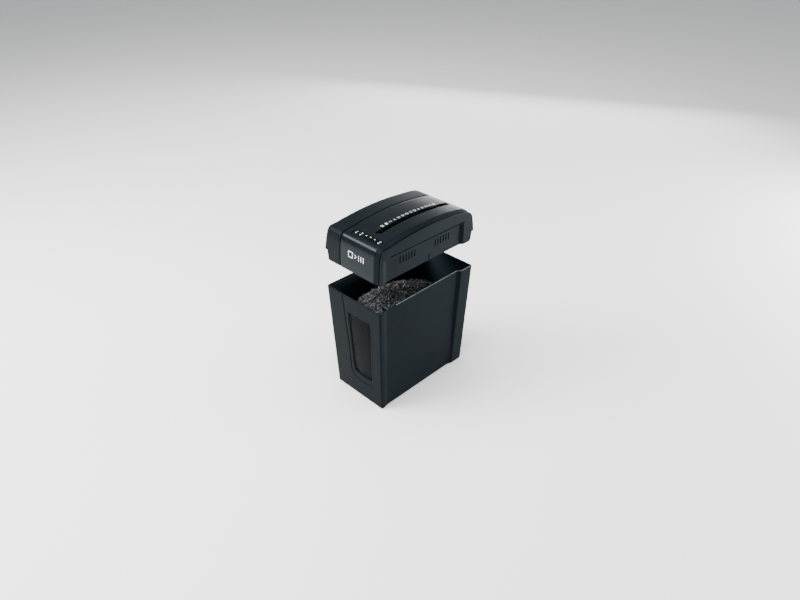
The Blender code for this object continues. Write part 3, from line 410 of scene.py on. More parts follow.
def bin_shell_plastic():
    """The bin's plastic, a lighter blue-grey on the walls that face inwards, with a painted highlight along
    one rim.
    """
    finish = Finish("bin_plastic")
    place = finish.node("ShaderNodeTexCoord", output="Object")
    normal = finish.node("ShaderNodeNewGeometry", output="Normal")
    flat = finish.node("ShaderNodeVectorMath", {"operation": "MULTIPLY"}, {0: place, 1: (1, 1, 0)})
    outward = finish.node("ShaderNodeVectorMath", {"operation": "DOT_PRODUCT"}, {0: flat, 1: normal},
                          output="Value")
    # walls that face the bin's middle get a lighter copy of the body's blue-grey
    inside = 1 - (outward > -0.002)
    slow = finish.noise(14.0, 2.0)
    body = finish.mix(slow, (0.0019, 0.0036, 0.0045), (0.0042, 0.0066, 0.0078))
    dusty = finish.mix(inside, body, (0.013, 0.021, 0.027))
    across, lengthwise, height = (finish.axis(place, index) for index in range(3))
    # painted highlight: a pale band along the top of the right-hand rim, from near the front back, standing
    # in for the light that rim catches
    edge = (height > RIM_HIGHLIGHT_FROM * MM) * (across > RIM_HIGHLIGHT_SIDE * MM) * (lengthwise > RIM_HIGHLIGHT_START * MM)
    edge = edge * (finish.noise(60.0, 3.0) * 0.8 + 0.4)
    finish.relief(finish.noise(GRAIN_SCALE, 3.0, roughness=0.7), 1.0, 0.00004)
    return finish.wear(Base_Color=finish.mix(edge, dusty, (0.13, 0.145, 0.15)), Roughness=slow * 0.10 + 0.37,
                       Specular_IOR_Level=0.028, Specular_Tint=COOL)


BIN_PLASTIC = bin_shell_plastic()
DARK_PLASTIC = moulded("dark_plastic", (0.0032, 0.0052, 0.0064), 0.42, 0.00004, specular=0.04)
TOP_PLASTIC = moulded("top_plastic", (0.0026, 0.0044, 0.0058), 0.22, 0.00002, specular=0.10)
INNER_PLASTIC = moulded("inner_plastic", (0.0020, 0.0028, 0.0034), 0.60, 0.00005, dust=0.08, specular=0.1)
STRIP_PLASTIC = moulded("strip_plastic", (0.0020, 0.0030, 0.0036), 0.20, 0.00001, specular=0.04)
# painted shade: a near-black plastic without gloss, laid on the seam bars, the throat lip and the faces of
# the vent and line cuts
SHADE_BLACK = moulded("painted_shade_plastic", (0.0010, 0.0015, 0.0018), 0.85, 0.00004, dust=0.0, specular=0.0)
print("plastics:", [m.name for m in bpy.data.materials if "plastic" in m.name])

# %% [markdown]
# ## The other finishes
# Inside the head sit zinc-plated plates, oiled cutting steel, bronze bushes, nylon gears and circuit
# boards. Plating shows soft crystals, turned steel shows rings, and paper dust clings to oil. The window
# is smoked plastic that lets the paper behind it show faintly.

# %% Metals
def plated(name, colour, roughness):
    """Zinc plating: pale crystals of a few millimetres, fine brushing, dull spots."""
    finish = Finish(name)
    crystals = finish.cells(260.0)
    brushed = finish.noise(240.0, 3.0, (1, 14, 1))
    tone = finish.mix(crystals, tuple(c * 0.8 for c in colour), tuple(min(c * 1.15, 1) for c in colour))
    finish.relief(brushed, 0.5, 0.00003)
    return finish.wear(Base_Color=tone, Metallic=1.0, Roughness=brushed * 0.25 + (roughness - 0.1))


def oiled_steel(name, colour, roughness):
    """Hardened steel with turning marks around the shaft and paper dust stuck in its oil."""
    finish = Finish(name)
    rings = (finish.axis(finish.place(), 1) * 9000.0).wave()
    dusty = finish.ramp(finish.noise(160.0, 4.0), 0.52, 0.72, 0.55)
    tone = finish.mix(dusty, colour, (0.42, 0.41, 0.39))
    finish.relief(rings, 0.35, 0.00003)
    return finish.wear(Base_Color=tone, Metallic=1 - dusty, Roughness=dusty * 0.5 + roughness)


STEEL = plated("zinc_steel", (0.56, 0.57, 0.58), 0.34)
CUTTER_STEEL = oiled_steel("cutter_steel", (0.30, 0.30, 0.31), 0.28)
BRONZE = plated("sintered_bronze", (0.52, 0.33, 0.15), 0.46)
print("metals:", STEEL.name, CUTTER_STEEL.name, BRONZE.name)

# %% Nylon, board, rubber, lenses
def plain(name, colour, roughness, bump_scale, depth, mottling=0.12, **more):
    """A dull material with mottled colour and a fine uneven surface."""
    finish = Finish(name)
    mottle = finish.noise(bump_scale / 12, 3.0)
    dark, light = (tuple(min(c * k, 1) for c in colour) for k in (1 - mottling, 1 + mottling))
    finish.relief(finish.noise(bump_scale, 3.0), 0.8, depth)
    return finish.wear(Base_Color=finish.mix(mottle, dark, light),
                       Roughness=mottle * 0.15 + (roughness - 0.07), **more)


def circuit_board(name):
    """Green solder mask over copper tracks that run in steps, with tinned pads."""
    finish = Finish(name)
    tracks = finish.cells(230.0, (1, 0.35, 1), "DISTANCE_TO_EDGE")
    covered = tracks > 0.06
    pads = finish.cells(420.0) > 0.16
    mask = finish.mix(covered, (0.035, 0.20, 0.085), (0.012, 0.095, 0.035))
    colour = finish.mix(pads, (0.62, 0.61, 0.57), mask)
    finish.relief(covered, 0.4, 0.00005)
    return finish.wear(Base_Color=colour, Roughness=pads * 0.12 + 0.28, Metallic=(1 - pads) * 0.9)


NYLON = plain("natural_nylon", (0.66, 0.63, 0.55), 0.45, 1100.0, 0.00003, 0.06)
RUBBER = plain("foot_rubber", (0.014, 0.014, 0.015), 0.86, 900.0, 0.00008)
BOARD = circuit_board("circuit_board")
LENS = plain("indicator_plastic", (0.50, 0.52, 0.54), 0.18, 300.0, 0.00001, 0.05, Coat_Weight=0.5)
PRINT = plain("printed_white", (0.62, 0.64, 0.66), 0.55, 2500.0, 0.00001, 0.10)
EMBLEM_PRINT = plain("emblem_white", (0.80, 0.81, 0.82), 0.45, 2500.0, 0.00001, 0.04)
print("small finishes ready")

# %% The smoked window and the paper
def smoked(name):
    """Smoked plastic: dark, glossy, mostly opaque, with dusty patches."""
    finish = Finish(name)
    dusty = finish.ramp(finish.noise(130.0, 5.0, roughness=0.7), 0.35, 0.75)
    tone = finish.mix(dusty, (0.0006, 0.0010, 0.0014), (0.0024, 0.0034, 0.0042))
    return finish.wear(Base_Color=tone, Roughness=dusty * 0.12 + 0.26, Alpha=dusty * 0.05 + 0.92,
                       Specular_IOR_Level=0.02, Specular_Tint=COOL)


def shaded_cut_paper(name):
    """Office paper in bits, painted dark grey as the shade inside the bin: each bit has its own tone, some
    carry grey print, and fibres roughen it.
    """
    finish = Finish(name)
    tone = finish.node("ShaderNodeAttribute", {"attribute_name": "tone"}, output="Fac")
    fibres = finish.noise(2600.0, 4.0, (1, 1, 3))
    # painted shade: the tones run from near black to mid grey, well below white paper
    paper = finish.mix(tone, (0.006, 0.007, 0.009), (0.25, 0.27, 0.30))
    lines = (finish.noise(330.0, 2.0) > 0.60) * 0.6
    colour = finish.mix(lines, paper, (0.03, 0.03, 0.035))
    finish.relief(fibres, 0.6, 0.00004)
    return finish.wear(Base_Color=colour, Roughness=fibres * 0.1 + 0.82)


SMOKED = smoked("smoked_plastic")
SHADED_PAPER = shaded_cut_paper("shaded_cut_paper")
HEAP_SHADE = plain("packed_paper", (0.030, 0.031, 0.033), 0.92, 500.0, 0.0004, 0.5)
print("window and paper ready")

# %% [markdown]
# ## Finishes for the frame's own parts
# Parts whose shape is already right keep their meshes and only change their material. A table of finish
# to node names keeps the choice readable.

# %% Repaint the frame
FINISHES = {
    INNER_PLASTIC: ("lower_housing", "throat_guide", "gear_cover", "motor_cradle", "power_relay",
                    "sensor_switch", "safety_switch", "mode_switch", "mode_slider"),
    STEEL: ("front_side_plate", "rear_side_plate", "tie_rod_1", "tie_rod_2", "tie_rod_3", "tie_rod_4",
            "first_axle", "second_axle", "motor_can", "roller_gear_a", "roller_gear_b"),
    CUTTER_STEEL: ("cutter_roller_a", "cutter_roller_b", "motor_rotor", "cover_screw_1", "cover_screw_2",
                   "cover_screw_3", "cover_screw_4"),
    BRONZE: ("front_bush_a", "front_bush_b", "rear_bush_a", "rear_bush_b", "thermal_cutout"),
    NYLON: ("stripper_comb_a", "stripper_comb_b", "first_gear", "second_gear", "drive_gear",
            "cooling_fan", "paper_lever", "safety_plunger"),
    BOARD: ("main_board", "control_board"),
    RUBBER: ("rubber_foot_1", "rubber_foot_2", "rubber_foot_3", "rubber_foot_4", "cord_gland"),
    LENS: ("indicator_lens_1", "indicator_lens_2", "indicator_lens_3", "motor_capacitor"),
    BIN_PLASTIC: ("bin_body",),
    DARK_PLASTIC: ("left_cover", "shoulder_trim", "right_cover", "window_bezel"),
    TOP_PLASTIC: ("top_cover",),
    STRIP_PLASTIC: ("control_strip",),
    SMOKED: ("window_pane",),
    SHADED_PAPER: ("paper_shreds",),
}
for finish_material, names in FINISHES.items():
    for node_name in names:
        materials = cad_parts[node_name].data.materials
        materials.clear()
        materials.append(finish_material)
print(sum(len(names) for names in FINISHES.values()), "frame nodes painted")

# %% [markdown]
# ## The head's side outline
# All four covers are cut from one arched form. Its side outline starts at the front foot, leans back a
# little, bends tightly over the front edge, follows a long shallow arch and rolls down to the rear lip.
# The arch is a parabola, which is what a large radius looks like; the two bends go through a few points.
# Two close stations at the height of the lip let a shell step in there without a cut.

# %% The head line
def arch(y):
    """Height of the arched top above the head's underside at a place along Y."""
    return CROWN - y ** 2 / (2 * ARCH_RADIUS)


def head_line(count):
    """(y, height) points from the front foot over the top to the rear lip."""
    front = [(-HALF_Y, 0), (-HALF_Y + 0.2, 13), (-HALF_Y + 0.6, 26), (-HALF_Y + 1.5, 43), (-HALF_Y + 2.6, 58)]
    bend = [(-HALF_Y + 4.2, 68.5), (-HALF_Y + 7.2, 77.5), (-HALF_Y + 11.6, 83.5), (-HALF_Y + 18, 87.2)]
    stations = np.linspace(-132, 122, 20)
    rear = [(137, 86.8), (146.5, 82.2), (153.0, 75.5), (157.4, 66.0), (160.6, 52.0), (163.2, 36.0),
            (164.4, REAR_LIP)]
    return smooth_line([*front, *bend, *np.stack([stations, arch(stations)], -1), *rear], count)


LINE = head_line(260)
rise = LINE[:80]
at_lip = int(np.searchsorted(rise[:, 1], REAR_LIP))
lip_pair = [(float(np.interp(h, rise[:, 1], rise[:, 0])), h) for h in (REAR_LIP - 0.02, REAR_LIP + 0.02)]
LINE = np.insert(LINE, at_lip, lip_pair, axis=0)
SLOPE = unit(np.gradient(LINE, axis=0))
LINE_OUT = np.stack([-SLOPE[:, 1], SLOPE[:, 0]], -1)


def carried(x, inset):
    """Section points carried along the head line: x across, inset square to the line and inwards."""
    x, inset = np.broadcast_arrays(np.asarray(x, float), np.asarray(inset, float))
    if x.ndim == 1:
        x, inset = (np.repeat(a[:, None], len(LINE), 1) for a in (x, inset))
    y = LINE[:, 0] - LINE_OUT[:, 0] * inset
    z = HEAD_Z + LINE[:, 1] - LINE_OUT[:, 1] * inset
    return np.stack([x, y, z], -1)


print("head line of", len(LINE), "points, highest", LINE[:, 1].max().round(2))

# %% [markdown]
# ## Centre cover and shoulder strip
# Seen from the end, each cover is a thin bar with softly rounded upper edges. That bar is a closed loop of
# (x, inset) points. Carried along the head line it becomes a closed band, and its two ends are capped.

# %% Bar sections
def bar(x0, x1, edge=0.7, wall=COVER_WALL, drop=0.0, columns=24):
    """Closed loop of (x, inset): a top with two rounded edges that may fall by drop, and a flat back."""
    turn = quarter(5)
    flat = np.linspace(x0 + edge, x1 - edge, columns)[1:-1]
    top_x = np.concatenate([x0 + edge * (1 - np.cos(turn)), flat, x1 - edge * (1 - np.sin(turn))])
    top_in = np.concatenate([edge * (1 - np.sin(turn)), np.zeros(columns - 2), edge * (1 - np.cos(turn))])
    top_in = top_in + drop * (top_x - x0) / (x1 - x0)
    back_x = np.array([x1, x0])
    back_in = np.array([wall + drop, wall])
    return np.concatenate([top_x, back_x]), np.concatenate([top_in, back_in])


def band(points):
    """Closed band from a section loop at every station, capped at the foot and at the lip."""
    skin = Skin()
    ring = skin.grid(points, wrap_rows=True)
    skin.cap(ring[:, 0])
    skin.cap(ring[:, -1])
    return skin


def prism(outline, low, high):
    """Closed block over an (x, y) outline between two heights."""
    return Skin().tube(np.stack([np.column_stack([outline, np.full(len(outline), z)]) for z in (low, high)]))


print("a bar's section has", len(bar(0, 10)[0]), "points, on", len(LINE), "stations")

# %% Centre cover with its slot
STRIP_X, STRIP_Y = (-23.0, 70.0), (-146.0, -126.0)
LIP = 1.0
HALF_SLOT = SLOT_WIDTH / 2
CUT_FROM, CUT_TO = HEAD_Z + 60, HEAD_Z + 130
slot_outline = rounded_box((SLOT_X - HALF_SLOT - LIP, SLOT_FRONT - LIP),
                           (SLOT_X + HALF_SLOT + LIP, SLOT_REAR + LIP), 3.5)
strip_outline = rounded_box((STRIP_X[0], STRIP_Y[0]), (STRIP_X[1], STRIP_Y[1]), 3.0)
top_bar = bar(LEFT_SEAM + SEAM_GAP / 2, SHOULDER_SEAM - 0.25, 1.0, columns=40)
openings = [prism(outline, CUT_FROM, CUT_TO).mesh("opening") for outline in (slot_outline, strip_outline)]
centre = cut(band(carried(*top_bar)).mesh("top_cover_skin"), openings)
piece("centre_cover", centre, TOP_PLASTIC, "head", ["top_cover"])

# %% Shoulder strip
PANEL_GAP = 2.6
shoulder = bar(SHOULDER_SEAM + 0.15, PANEL_SEAM - PANEL_GAP, 0.6, drop=SHOULDER_DROP)
piece("shoulder_strip", band(carried(*shoulder)), DARK_PLASTIC, "head", ["shoulder_trim"])

# %% [markdown]
# ## Seam tongues
# Two mouldings never meet edge to edge: a tongue on one lies under the other and closes the gap. What one
# sees of it is a dark line. Here it is a thin dull bar a little below the covers, carried along the same
# head line and painted near black without gloss as the shade in the gap, so the line has the same width
# all the way.

# %% Seam tongues
TONGUE_HALF, TONGUE_SUNK, TONGUE_THICK = 2.6, 1.7, 0.6
for number, seam_x, sunk in ((1, LEFT_SEAM, TONGUE_SUNK), (2, PANEL_SEAM - 1.2, SHOULDER_DROP + TONGUE_SUNK)):
    tongue_x, tongue_in = bar(seam_x - TONGUE_HALF, seam_x + TONGUE_HALF, 0.2, TONGUE_THICK, columns=4)
    tongue = band(carried(tongue_x, tongue_in + sunk))
    # painted shade: each bar is near black and without gloss, standing for the shade in the seam
    piece(f"painted_shade_tongue_{number}", tongue, SHADE_BLACK, "head")

# %% [markdown]
# ## Left cover
# The left shell has a generous radius along the top that tightens towards the front and rear feet, and a
# flat side that stops above the lower housing. The radius is a function of the distance along the head
# line, so the long edge is soft and the feet stay crisp. Below the lip the shell steps in and leans.

# %% Left cover
LIP_STEP_X, LIP_LEAN = 88.3, 3.8


def edge_radius(reach=10):
    """Radius of the top edge along the line: crisp at both feet, growing over the bends, full on the arch."""
    travel = np.concatenate([[0], np.cumsum(np.linalg.norm(np.diff(LINE, axis=0), axis=1))])
    front = np.interp(travel, [0, 24, 46, 68, 88, 150, 190], [2.6, 3.0, 7.5, 12.5, 14.5, 17.0, 17.6])
    rear = np.interp(travel[-1] - travel, [0, 22, 48, 78, 130], [2.6, 4.5, 10.0, 13.5, 17.6])
    weight = np.hanning(2 * reach + 3)[1:-1]
    padded = np.pad(np.minimum(front, rear), reach, mode="edge")
    return np.convolve(padded, weight / weight.sum(), mode="valid")


def left_limit(height):
    """How far out the shell reaches: full width above the lip, stepped in and leaning below it."""
    return np.where(height < REAR_LIP, LIP_STEP_X - LIP_LEAN * (1 - height / REAR_LIP), HALF_X)


def left_shell():
    """Section loop at every station: seam edge, flat top, big radius, side wall, and back up inside."""
    stations = len(LINE)
    radius = edge_radius()[None, :]
    side_x = -left_limit(LINE[:, 1])[None, :]
    seam = LEFT_SEAM - SEAM_GAP / 2
    turn = quarter(5)[:, None]
    edge = 1.0
    seam_part = carried(np.repeat(seam - edge * (1 - np.cos(turn)), stations, 1),
                        np.repeat(edge * (1 - np.sin(turn)), stations, 1))
    share = np.linspace(0, 1, 12)[1:, None]
    flat_x = (seam - edge) + (side_x + radius - seam + edge) * share
    flat_part = carried(flat_x, np.zeros_like(flat_x))
    sweep = quarter(12)[1:, None]
    arc_part = carried(side_x + radius * (1 - np.sin(sweep)), radius * (1 - np.cos(sweep)))
    inner_radius = np.maximum(radius - COVER_WALL, 0.2)
    inner_top = carried(np.full((1, stations), seam), np.full((1, stations), COVER_WALL))
    inner_arc = carried(side_x + COVER_WALL + inner_radius * (1 - np.sin(sweep)),
                        COVER_WALL + inner_radius * (1 - np.cos(sweep)))
    foot, inner_foot = arc_part[-1].copy(), inner_arc[-1].copy()
    foot[:, 2] = np.minimum(foot[:, 2], HEAD_Z + REAR_LIP)
    inner_foot[:, 2] = np.minimum(inner_foot[:, 2], HEAD_Z + REAR_LIP)
    fall = np.linspace(0, 1, 8)[1:, None, None]
    side_part = arc_part[-1] + (foot - arc_part[-1]) * fall
    return np.concatenate([seam_part, flat_part, arc_part, side_part, inner_foot[None], inner_arc[::-1],
                           inner_top])


piece("left_shell", band(left_shell()), DARK_PLASTIC, "head", ["left_cover"])

# %% [markdown]
# ## Side panel
# The right-hand panel is flat, with one long finger recess that starts imperceptibly at the front and ends
# in a short ramp at the rear, so a hand can lift the head. Its depth is a function of place along Y. The
# panel starts as one flat plate with a rounded border and a backing behind it. A block whose inner side
# has that depth is taken away from it, then the vents, a slit and a fine line over the recess. The faces
# these last cuts leave are painted near black as shade: deep in the vents and the slit, and as the shadow
# under the recess's top edge.

# %% Recess depth
RECESS_START, RECESS_FULL, RECESS_END, RECESS_RAMP_END = -160.0, -138.0, 115.0, 125.0
RECESS_FRONT, RECESS_REAR, RECESS_TOP = 4.6, 7.8, 60.5
RECESS_FADE = 0.4


def recess(y):
    """Depth of the recess along Y: soft start, slow even growth, short ramp out with softened ends."""
    start = ease((y - RECESS_START) / (RECESS_FULL - RECESS_START))
    grow = np.interp(y, [RECESS_FULL, RECESS_END], [RECESS_FRONT, RECESS_REAR])
    out = 1 - np.clip((y - RECESS_END) / (RECESS_RAMP_END - RECESS_END), 0, 1)
    return start * grow * out


print("recess depth along Y:", recess(np.array([-150.0, -100, 0, 100, 120])).round(2))

# %% Side panel
def panel_edge(inset):
    """Closed (y, height) outline of the side panel, moved inwards, from the front foot to the rear one."""
    over = np.stack([LINE[:, 0] - LINE_OUT[:, 0] * (SHOULDER_DROP + inset),
                     LINE[:, 1] - LINE_OUT[:, 1] * (SHOULDER_DROP + inset)], -1)
    over[:, 1] = np.maximum(over[:, 1], inset)
    foot = np.array([(155.0, REAR_LIP), (152.0, 6.0), (147.5, 0.0)]) - (inset, -inset)
    return np.concatenate([over, foot])


PANEL_THICK, PANEL_BORDER = 3.0, 0.8


def upright(x, outline):
    """A (y, height) outline stood up at a place along X."""
    return np.column_stack([np.full(len(outline), x), outline[:, 0], HEAD_Z + outline[:, 1]])


def side_panel():
    """Flat plate with a rounded border on its outer side and a flat back."""
    rings = [upright(HALF_X - PANEL_BORDER * (1 - math.cos(math.pi / 2 - angle)),
                     panel_edge(PANEL_BORDER * (1 - math.sin(angle))))
             for angle in quarter(6)]
    rings.append(upright(HALF_X - PANEL_THICK, panel_edge(0)))
    return Skin().tube(np.array(rings))


CREASE_TALL, CREASE_DEEP = 1.6, 1.9
BEYOND = 12
VENT_IN, VENT_OUT = 22, 5


def recess_tool():
    """Block that fills the recess out to beyond the panel; a crease deepens it along its top edge."""
    skin = Skin()
    y = np.concatenate([np.linspace(RECESS_START, RECESS_FULL, 14),
                        np.linspace(RECESS_FULL, RECESS_END, 20)[1:],
                        np.linspace(RECESS_END, RECESS_RAMP_END, 5)[1:]])
    h = np.concatenate([[-10.0], np.linspace(0, RECESS_TOP - CREASE_TALL, 5),
                        [RECESS_TOP - CREASE_TALL + 0.05, RECESS_TOP]])
    crease = np.where(h > RECESS_TOP - CREASE_TALL, CREASE_DEEP, 0.0)
    depth = recess(y)[:, None]
    depth = depth + crease[None, :] * np.minimum(depth / 4, 1)
    inner = np.stack([HALF_X - depth, np.repeat(y[:, None], len(h), 1),
                      HEAD_Z + np.repeat(h[None, :], len(y), 0)], -1)
    outer = inner.copy()
    outer[..., 0] = HALF_X + BEYOND
    front = skin.grid(inner)
    back = skin.grid(outer)
    for side in (np.s_[0], np.s_[-1], np.s_[:, 0], np.s_[:, -1]):
        a, b = front[side], back[side]
        skin.faces += np.stack([a[:-1], a[1:], b[1:], b[:-1]], -1).tolist()
    return skin


def vent_tool(y, bottom=30.0, top=49.0, half=1.7):
    """Upright slot with round ends, cut through the panel along X."""
    outline = rounded_box((y - half, bottom), (y + half, top), half * 0.96, 4)
    return Skin().tube(np.stack([upright(x, outline) for x in (HALF_X - VENT_IN, HALF_X + VENT_OUT)]))


def box_skin(low, high):
    """Plain closed block between two corners."""
    outline = np.array([(low[0], low[1]), (high[0], low[1]), (high[0], high[1]), (low[0], high[1])], float)
    return prism(outline, low[2], high[2])


print("the recess block has", len(recess_tool().faces), "faces")

# %% Cutting the panel
VENT_STARTS, VENT_STEP, VENTS = (-96.0, 24.7), 9.8, 6
SHADOW_LINE_FROM, SHADOW_LINE_TALL, SHADOW_LINE_DEEP = HEAD_Z + RECESS_TOP + 0.7, 1.9, 2.3
backing = box_skin((HALF_X - 10.2, RECESS_START + 2, HEAD_Z),
                   (HALF_X - 2.5, RECESS_RAMP_END + 4, HEAD_Z + RECESS_TOP + 2.4))
panel = cut(side_panel().mesh("panel"), [backing.mesh("backing")], "UNION")
panel = cut(panel, [recess_tool().mesh("tool")])
vents = [vent_tool(start + VENT_STEP * i) for start in VENT_STARTS for i in range(VENTS)]
slit = vent_tool(3.2, -8.0, 17.0, 1.3)
# painted shadow: a shallow cut just above the recess whose faces are painted near black, for the shadow under
# the recess's top edge
line = box_skin((HALF_X - SHADOW_LINE_DEEP, RECESS_FULL + 6, SHADOW_LINE_FROM),
                (HALF_X + 4, RECESS_RAMP_END + 1.5, SHADOW_LINE_FROM + SHADOW_LINE_TALL))
tools = [tool.mesh("tool") for tool in (*vents, slit, line)]
# painted shade: the faces left by the vents, the slit and the line take the near-black finish
panel = cut(panel, tools, finish=DARK_PLASTIC, cut_finish=SHADE_BLACK)
piece("side_panel", panel, DARK_PLASTIC, "head", ["right_cover"], crease=18)

# %% [markdown]
# ## Throat lip
# Paper meets a funnel before it meets the cutters. Its lip is a section carried round a long slot outline
# and lifted onto the arch, so the slot has a soft edge instead of a sawn one. The lip is painted near black
# without gloss, as the shade inside the slot.

# %% Throat lip
def ring_section(outline, section, place):
    """Closed tube: each outline point spreads into section points (outward offset, drop), then is placed."""
    out = along(outline)
    spread = np.array(section, float)
    flat = outline[:, None, :] + out[:, None, :] * spread[None, :, :1]
    drop = np.broadcast_to(spread[None, :, 1], flat.shape[:2])
    skin = Skin()
    skin.grid(place(flat[..., 0], flat[..., 1], drop), wrap_rows=True, wrap_cols=True)
    return skin


def on_arch(x, y, drop):
    """A place on the arched top, or below it by the drop."""
    return np.stack([x, y, HEAD_Z + arch(y) - drop], -1)


LIP_IN, LIP_OUT, LIP_NOSE = -0.1, 0.8, 0.6
ends = rounded_box((SLOT_X - HALF_SLOT, SLOT_FRONT), (SLOT_X + HALF_SLOT, SLOT_REAR), 2.6)
half = len(ends) // 2
share = np.linspace(0, 1, 60)[1:-1, None]
right_side = ends[half - 1] + (ends[half] - ends[half - 1]) * share
left_side = ends[-1] + (ends[0] - ends[-1]) * share
throat_outline = np.concatenate([ends[:half], right_side, ends[half:], left_side])
lip_nose = [(LIP_IN + LIP_NOSE * (1 - math.sin(a)), LIP_NOSE * (1 - math.cos(a)))
            for a in quarter(6)]
lip_section = [(LIP_OUT, 0.15), (LIP_OUT - 0.2, 0.0), *lip_nose, (LIP_IN, COVER_WALL), (LIP_OUT, COVER_WALL)]
# painted shade: the lip takes the near-black, glossless finish that stands for the dark inside the slot
piece("throat_lip", ring_section(throat_outline, lip_section, on_arch), SHADE_BLACK, "head")

# %% [markdown]
# ## Printed marks
# Marks on such mouldings are usually pad printed. Here they are thin ribbons of white, generic in shape:
# sheets, strips, staples, clips, cards and discs that say what the machine takes. Each stroke is a flat
# path with width, carried by a placing function, so one kind of stroke serves three surfaces.

# %% Strokes
INK = 0.05


def stroke(skin, points, width, place, closed=False):
    """A flat ribbon of ink along 2D points: four corners per point, shut at its ends unless it is a ring."""
    points = np.array(points, float)
    if closed:
        tangent = np.roll(points, -1, 0) - np.roll(points, 1, 0)
    else:
        tangent = np.gradient(points, axis=0)
    tangent /= np.maximum(np.linalg.norm(tangent, axis=1, keepdims=True), 1e-9)
    side = np.stack([-tangent[:, 1], tangent[:, 0]], -1) * width / 2
    corners = np.stack([points - side, points + side, points + side, points - side], 1)
    lift = np.broadcast_to([0.0, 0.0, INK, INK], corners.shape[:2])
    ring = skin.grid(place(corners[..., 0], corners[..., 1], lift), wrap_rows=closed, wrap_cols=True)
    if not closed:
        skin.cap(ring[0])
        skin.cap(ring[-1])


def dense(points, step=0.8, closed=False):
    """Points added along straight runs so that a ribbon can follow a curved surface."""
    points = np.array(points + points[:1] if closed else points, float)
    out = []
    for a, b in zip(points[:-1], points[1:]):
        count = max(int(np.linalg.norm(b - a) / step), 1)
        out.append(a + (b - a) * np.linspace(0, 1, count, endpoint=False)[:, None])
    if not closed:
        out.append(points[-1:])
    return np.concatenate(out)


def box_path(cx, cy, w, h):
    """Corners of an upright rectangle."""
    return [(cx + i * w / 2, cy + j * h / 2) for i, j in ((-1, -1), (1, -1), (1, 1), (-1, 1))]


def ring_path(cx, cy, radius, start=0.0, end=360.0, count=18):
    """Points on a circle or an arc of it, in degrees."""
    angle = np.radians(np.linspace(start, end, count, endpoint=end - start < 360))
    return list(zip(cx + radius * np.cos(angle), cy + radius * np.sin(angle)))


print("a 7 mm line is read at", len(dense([(0, 0), (7, 0)])), "points")

# %% Generic glyphs, each in a 7 mm square
def glyph(kind):
    """Strokes of one pictogram as (points, closed)."""
    sheet = [(box_path(0, 0, 4.6, 6.4), True)]
    return {
        "sheet": sheet + [([(-1.3, y), (1.3, y)], False) for y in (-1.4, 0.0, 1.4)],
        "strips": [(box_path(x, 0, 0.9, 6.2), True) for x in (-2.0, 0.0, 2.0)],
        "staple": [([(-2.4, -1.8), (-2.4, 1.8), (2.4, 1.8), (2.4, -1.8)], False)],
        "clip": [([(-1.0, -1.6), (-1.0, 2.4), (1.0, 2.4), (1.0, -2.6), (-2.0, -2.6), (-2.0, 1.2)], False)],
        "card": [(box_path(0, 0, 6.0, 4.2), True), ([(-3.0, 0.9), (3.0, 0.9)], False)],
        "disc": [(ring_path(0, 0, 2.9), True), (ring_path(0, 0, 0.8), True)],
        "clock": [(ring_path(0, 0, 2.9), True), ([(0, 1.8), (0, 0), (1.5, 0)], False)],
        "envelope": [(box_path(0, 0, 6.0, 4.4), True), ([(-3.0, 2.2), (0, -0.2), (3.0, 2.2)], False)],
        "bin": [([(-2.4, 2.6), (-1.7, -2.8), (1.7, -2.8), (2.4, 2.6)], False),
                ([(-3.0, 2.6), (3.0, 2.6)], False)],
        "arrow": [([(-3.0, 0), (2.6, 0)], False), ([(0.8, 1.9), (2.8, 0), (0.8, -1.9)], False)],
        "power": [(ring_path(0, -0.3, 2.5, 125, 415, 16), False), ([(0, 0.3), (0, 3.0)], False)],
        "heat": [(ring_path(0, -1.8, 1.2), True), ([(0, -0.6), (0, 2.8)], False)],
    }[kind]


def draw(skin, kind, place, size=1.0, width=0.75):
    """One pictogram's strokes through a placing function."""
    for points, closed in glyph(kind):
        path = dense([(x * size, y * size) for x, y in points], closed=closed)
        stroke(skin, path, width * size, place, closed)


ROW_X, ROW_START, ROW_END = 17.5, -82.0, 94.0
row = ["sheet", "strips", "staple", "clip", "card", "disc", "envelope",
       "bin", "sheet", "clip", "clock", "card", "envelope", "strips"]
marks = Skin()
for kind, y in zip(row, np.linspace(ROW_START, ROW_END, len(row))):
    draw(marks, kind, lambda u, v, w, y=y: on_arch(ROW_X - v, y + u, -w), 1.15, 0.58)
piece("row_of_marks", marks, PRINT, "head", crease=60)

# %% Emblem on the front face
def on_front_face(u, v, lift):
    """Across and up on the head's front face, lifted outwards."""
    rising = LINE[:40]
    y = np.interp(v, rising[:, 1], rising[:, 0])
    return np.stack([u, y - lift - 0.01, HEAD_Z + v], -1)


EMBLEM_X, EMBLEM_H, EMBLEM_TALL, EMBLEM_STROKE = 17.0, 45.0, 14.0, 1.9
emblem = Skin()
sheet_path = dense(box_path(EMBLEM_X - 19, EMBLEM_H, 14, EMBLEM_TALL), closed=True)
stroke(emblem, sheet_path, EMBLEM_STROKE, on_front_face, True)
arrow_tip = [(EMBLEM_X - 4, EMBLEM_H + 4.5), (EMBLEM_X + 0.5, EMBLEM_H), (EMBLEM_X - 4, EMBLEM_H - 4.5)]
stroke(emblem, dense(arrow_tip), EMBLEM_STROKE, on_front_face)
for strip_x in (9.0, 17.0, 25.0):
    strip_ends = [(EMBLEM_X + strip_x, EMBLEM_H + half * EMBLEM_TALL / 2) for half in (-1, 1)]
    stroke(emblem, dense(strip_ends), EMBLEM_STROKE, on_front_face)
piece("front_emblem", emblem, EMBLEM_PRINT, "head", crease=60)

# %% [markdown]
# ## Control strip
# A dark plate lies let into the cover, tilted with the arch. A ribbed slider runs in a slot in it, with
# three lenses beside it. The slider is a piece of its own that rides on the knob's body. Its marks use the
# same strokes, placed on the tilted plane.

